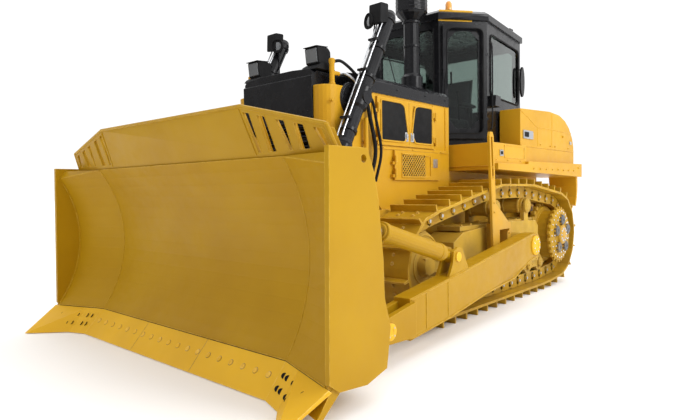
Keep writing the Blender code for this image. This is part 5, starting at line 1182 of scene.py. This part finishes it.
# ------------------------------------------------------------ tank, fenders, steps
def tank_details(tag, side):
    """Creases, seams, latches and bolts on the tank side, the battery box and the fender."""
    x = TANK_HIGH.x
    line, silver, black, yellow = Build(side), Build(side), Build(side), Build(side)
    line.tube([(x, -1.47, 2.63), (x, -1.22, 2.56), (x, -0.95, 2.455), (x, -0.84, 2.44), (x, 0.60, 2.44)],
              0.007, 6)
    for y, top in ((-0.85, 2.44), (-0.27, 2.69)):
        line.tube([(x, y, 2.15), (x, y, top)], 0.006, 6)
    line.tube([(x, -1.46, 2.135), (x, 0.73, 2.135)], 0.008, 6)
    silver.prism(rounded([(-1.40, 2.24), (-1.05, 2.24), (-1.05, 2.36), (-1.40, 2.36)], 0.02, 3), "X",
                 x - 0.002, x + 0.016)
    black.prism(rounded([(-1.36, 2.265), (-1.22, 2.265), (-1.22, 2.335), (-1.36, 2.335)], 0.01, 3), "X",
                x + 0.014, x + 0.02)
    silver.box(x - 0.002, x + 0.014, 0.52, 0.60, 2.25, 2.30)
    for y in (-0.75, -0.35, -0.15, 0.45):
        yellow.bolt((x, y, 2.18), (1, 0, 0), 0.013)
    yellow.bolt((x, 0.20, 2.36), (1, 0, 0), 0.018)
    bx = 1.37
    line.tube([(bx, y, z) for y, z in ((-2.16, 1.93), (-1.52, 1.93), (-1.52, 2.095), (-2.16, 2.095))],
              0.006, 6, True)
    silver.box(bx - 0.002, bx + 0.012, -2.30, -2.20, 1.95, 2.03)
    black.box(bx + 0.008, bx + 0.016, -2.28, -2.22, 1.97, 2.01)
    for y in (-2.40, -2.05, -1.65):
        yellow.bolt((bx, y, 1.90), (1, 0, 0), 0.010)
    for k in range(9):
        yellow.bolt((FENDER_HIGH.x, -1.30 + k * 0.24, 1.80 if k < 8 else 1.85), (1, 0, 0), 0.013)
    for k in range(14):
        y = -2.40 + k * 0.065
        line.tube([(0.80, y, 2.121), (1.33, y, 2.121)], 0.004, 5)
    line.make("tank_creases_" + tag, YELLOW, "tractor", "hull_yellow")
    silver.make("tank_latches_" + tag, SILVER, "tractor", "rod_chrome", 0.002)
    black.make("tank_buttons_" + tag, DULL_BLACK, "tractor", "gloss_black")
    yellow.make("tank_bolts_" + tag, YELLOW, "tractor", "hull_yellow")


def tank_top():
    """Ribbed filler caps, rear lamps and handrails."""
    cap, rail, lamps, lens = Build(), Build(), Build(), Build()
    cap.turned((0.85, 0.19, 2.70), (0, 0, 1),
               [(0, 0.10), (0.03, 0.105), (0.07, 0.105), (0.09, 0.085), (0.10, 0.04)], 24)
    for i in range(16):
        a = 2 * math.pi * i / 16
        cap.bar((0.85 + 0.105 * math.cos(a), 0.19 + 0.105 * math.sin(a), 2.725),
                (0.85 + 0.105 * math.cos(a), 0.19 + 0.105 * math.sin(a), 2.775), 0.008, 5)
    for side in (1, -1):
        lamps.box(side * 1.05 - 0.08, side * 1.05 + 0.08, 0.42, 0.56, 2.58, 2.72)
        lens.box(side * 1.05 - 0.07, side * 1.05 + 0.07, 0.56, 0.568, 2.60, 2.70)
        rail.tube(smooth_path([(side * 0.95, 0.735, 2.22), (side * 0.95, 0.80, 2.24),
                               (side * 0.95, 0.82, 2.36),
                               (side * 0.95, 0.70, 2.46)]), 0.014, 8)
    cap.make("filler_cap", BROWN, "tractor", "hull_yellow")
    rail.make("tank_rails", BLACK, "tractor", "gloss_black")
    lamps.make("rear_lamps", DULL_BLACK, "tractor", "gloss_black", 0.004)
    lens.make("rear_lamp_lenses", LENS, "tractor", "cab_glass")


def step_details(tag, side):
    """Bolts, welds and treads of the step post."""
    x = POST_HIGH.x
    yellow, dark = Build(side), Build(side)
    for share in (0.32, 0.40, 0.62, 0.70):
        point = Vector((-2.66, 0.76)).lerp(Vector((-2.76, 2.22)), share)
        yellow.bolt((x, *point), (1, 0, 0), 0.012)
    yellow.tube([(x - 0.002, y + dy, z) for y, z, dy in ((-2.66, 0.80, -0.05), (-2.70, 1.60, -0.05))],
                0.005, 5)
    for z in (0.80, 0.94):
        for y in (-2.54, -2.22):
            yellow.bolt((1.46, y, z), (1, 0, 0), 0.012)
    dark.box(1.34, 1.452, -2.56, -2.20, 1.075, 1.084)
    yellow.make("post_bolts_" + tag, YELLOW, "tractor", "hull_yellow")
    dark.make("step_tread_" + tag, DULL_BLACK, "tractor", "gloss_black")


def hull_details():
    """Bolts and ribs on the rear plate, the drawbar pin and the belly bolts."""
    yellow, steel = Build(), Build()
    for side in (1, -1):
        for z in (0.72, 0.88, 1.04):
            yellow.bolt((side * 0.52, 0.592, z), (0, 1, 0), 0.018)
        yellow.prism([(0.42, 0.66), (0.58, 0.66), (0.52, 1.10), (0.46, 1.10)], "Y", 0.585, 0.62)
        for y in (-3.6, -2.6, -1.6, -0.6):
            yellow.bolt((side * 0.60, y, 0.518), (0, 0, -1), 0.016)
    steel.turned((0, 0.76, 0.60), (0, 0, 1), [(0, 0.035), (0.30, 0.035), (0.31, 0.06), (0.33, 0.06)], 16)
    yellow.make("hull_bolts", WORN_YELLOW, "tractor", "worn_yellow", 0.002)
    steel.make("drawbar_pin", SILVER, "tractor", "rod_chrome")


def dress_all():
    """Everything, in order."""
    dress_nodes()
    pins = pin_line()
    blade_front()
    blade_sides()
    spill_guard_details()
    brace_details()
    for tag, side in SIDES:
        track_details(tag, side, pins)
        sprocket_details(tag, side, pins)
        roller_details(tag, side)
        push_arm_details(tag, side)
        lift_details(tag, side)
        hood_details(tag, side)
        cab_details(tag, side)
        tank_details(tag, side)
        step_details(tag, side)
    guard_details()
    stack_details()
    cab_top()
    operator_place()
    tank_top()
    hull_details()



# ------------------------------------------------------------ stage
def stage():
    """Pale floor, soft lights and the camera."""
    form = bmesh.new()
    bmesh.ops.create_grid(form, x_segments=2, y_segments=2, size=120)
    mesh = bpy.data.meshes.new("floor")
    form.to_mesh(mesh)
    form.free()
    floor = bpy.data.objects.new("floor", mesh)
    floor.location = (0, 0, -0.002)
    bpy.context.scene.collection.objects.link(floor)
    mesh.materials.append(paint("floor_paint", (0.97, 0.97, 0.97), (0.96, 0.96, 0.96), None, None, (0, 1),
                                (0.75, 0.9), 0.0, 0.0, (2.0, 0.01), 0.2))
    world = bpy.context.scene.world or bpy.data.worlds.new("world")
    bpy.context.scene.world = world
    world.use_nodes = True
    tree = world.node_tree
    sky = tree.nodes["Background"]
    sky.inputs["Color"].default_value = (1.0, 1.0, 1.0, 1.0)
    place = tree.nodes.new("ShaderNodeTexCoord")
    split = tree.nodes.new("ShaderNodeSeparateXYZ")
    tree.links.new(place.outputs["Generated"], split.inputs["Vector"])
    total = tree.nodes.new("ShaderNodeMath")
    total.operation = "ADD"
    tree.links.new(ramp(tree, split.outputs["Y"], -0.50, 0.22, 0.42, 1.06), total.inputs[0])
    tree.links.new(ramp(tree, split.outputs["Z"], 0.25, 0.90, 0.0, 0.85), total.inputs[1])
    tree.links.new(total.outputs["Value"], sky.inputs["Strength"])
    target = Vector((0.3, -0.6, 1.6))
    for name, place, size, power in (("key", (11.0, 0.5, 7.0), 5.0, 620.0),
                                     ("front", (-4.0, -14.0, 7.0), 7.0, 60.0)):
        lamp = bpy.data.lights.new(name, "AREA")
        lamp.energy = power
        lamp.size = size
        item = bpy.data.objects.new(name, lamp)
        item.location = place
        item.rotation_mode = "QUATERNION"
        item.rotation_quaternion = (target - Vector(place)).to_track_quat("-Z", "Y")
        bpy.context.scene.collection.objects.link(item)
    camera = bpy.data.cameras.new("camera")
    eye = bpy.data.objects.new("camera", camera)
    bpy.context.scene.collection.objects.link(eye)
    yaw, pitch, roll = (math.radians(a) for a in (40.775, 2.139, -0.775))
    forward = Vector((-math.sin(yaw) * math.cos(pitch), math.cos(yaw) * math.cos(pitch), -math.sin(pitch)))
    level = Vector((math.cos(yaw), math.sin(yaw), 0))
    upward = level.cross(forward)
    right = level * math.cos(roll) + upward * math.sin(roll)
    top = upward * math.cos(roll) - level * math.sin(roll)
    turn = Matrix((right, top, -forward)).transposed().to_4x4()
    turn.translation = Vector((4.5368, -8.976 + DATUM_Y, 1.5328))
    eye.matrix_world = turn
    camera.sensor_width = 36.0
    camera.lens = 27.97
    camera.clip_end = 400.0
    bpy.context.scene.camera = eye
    bpy.context.scene.view_settings.view_transform = "Standard"


dress_all()
stage()
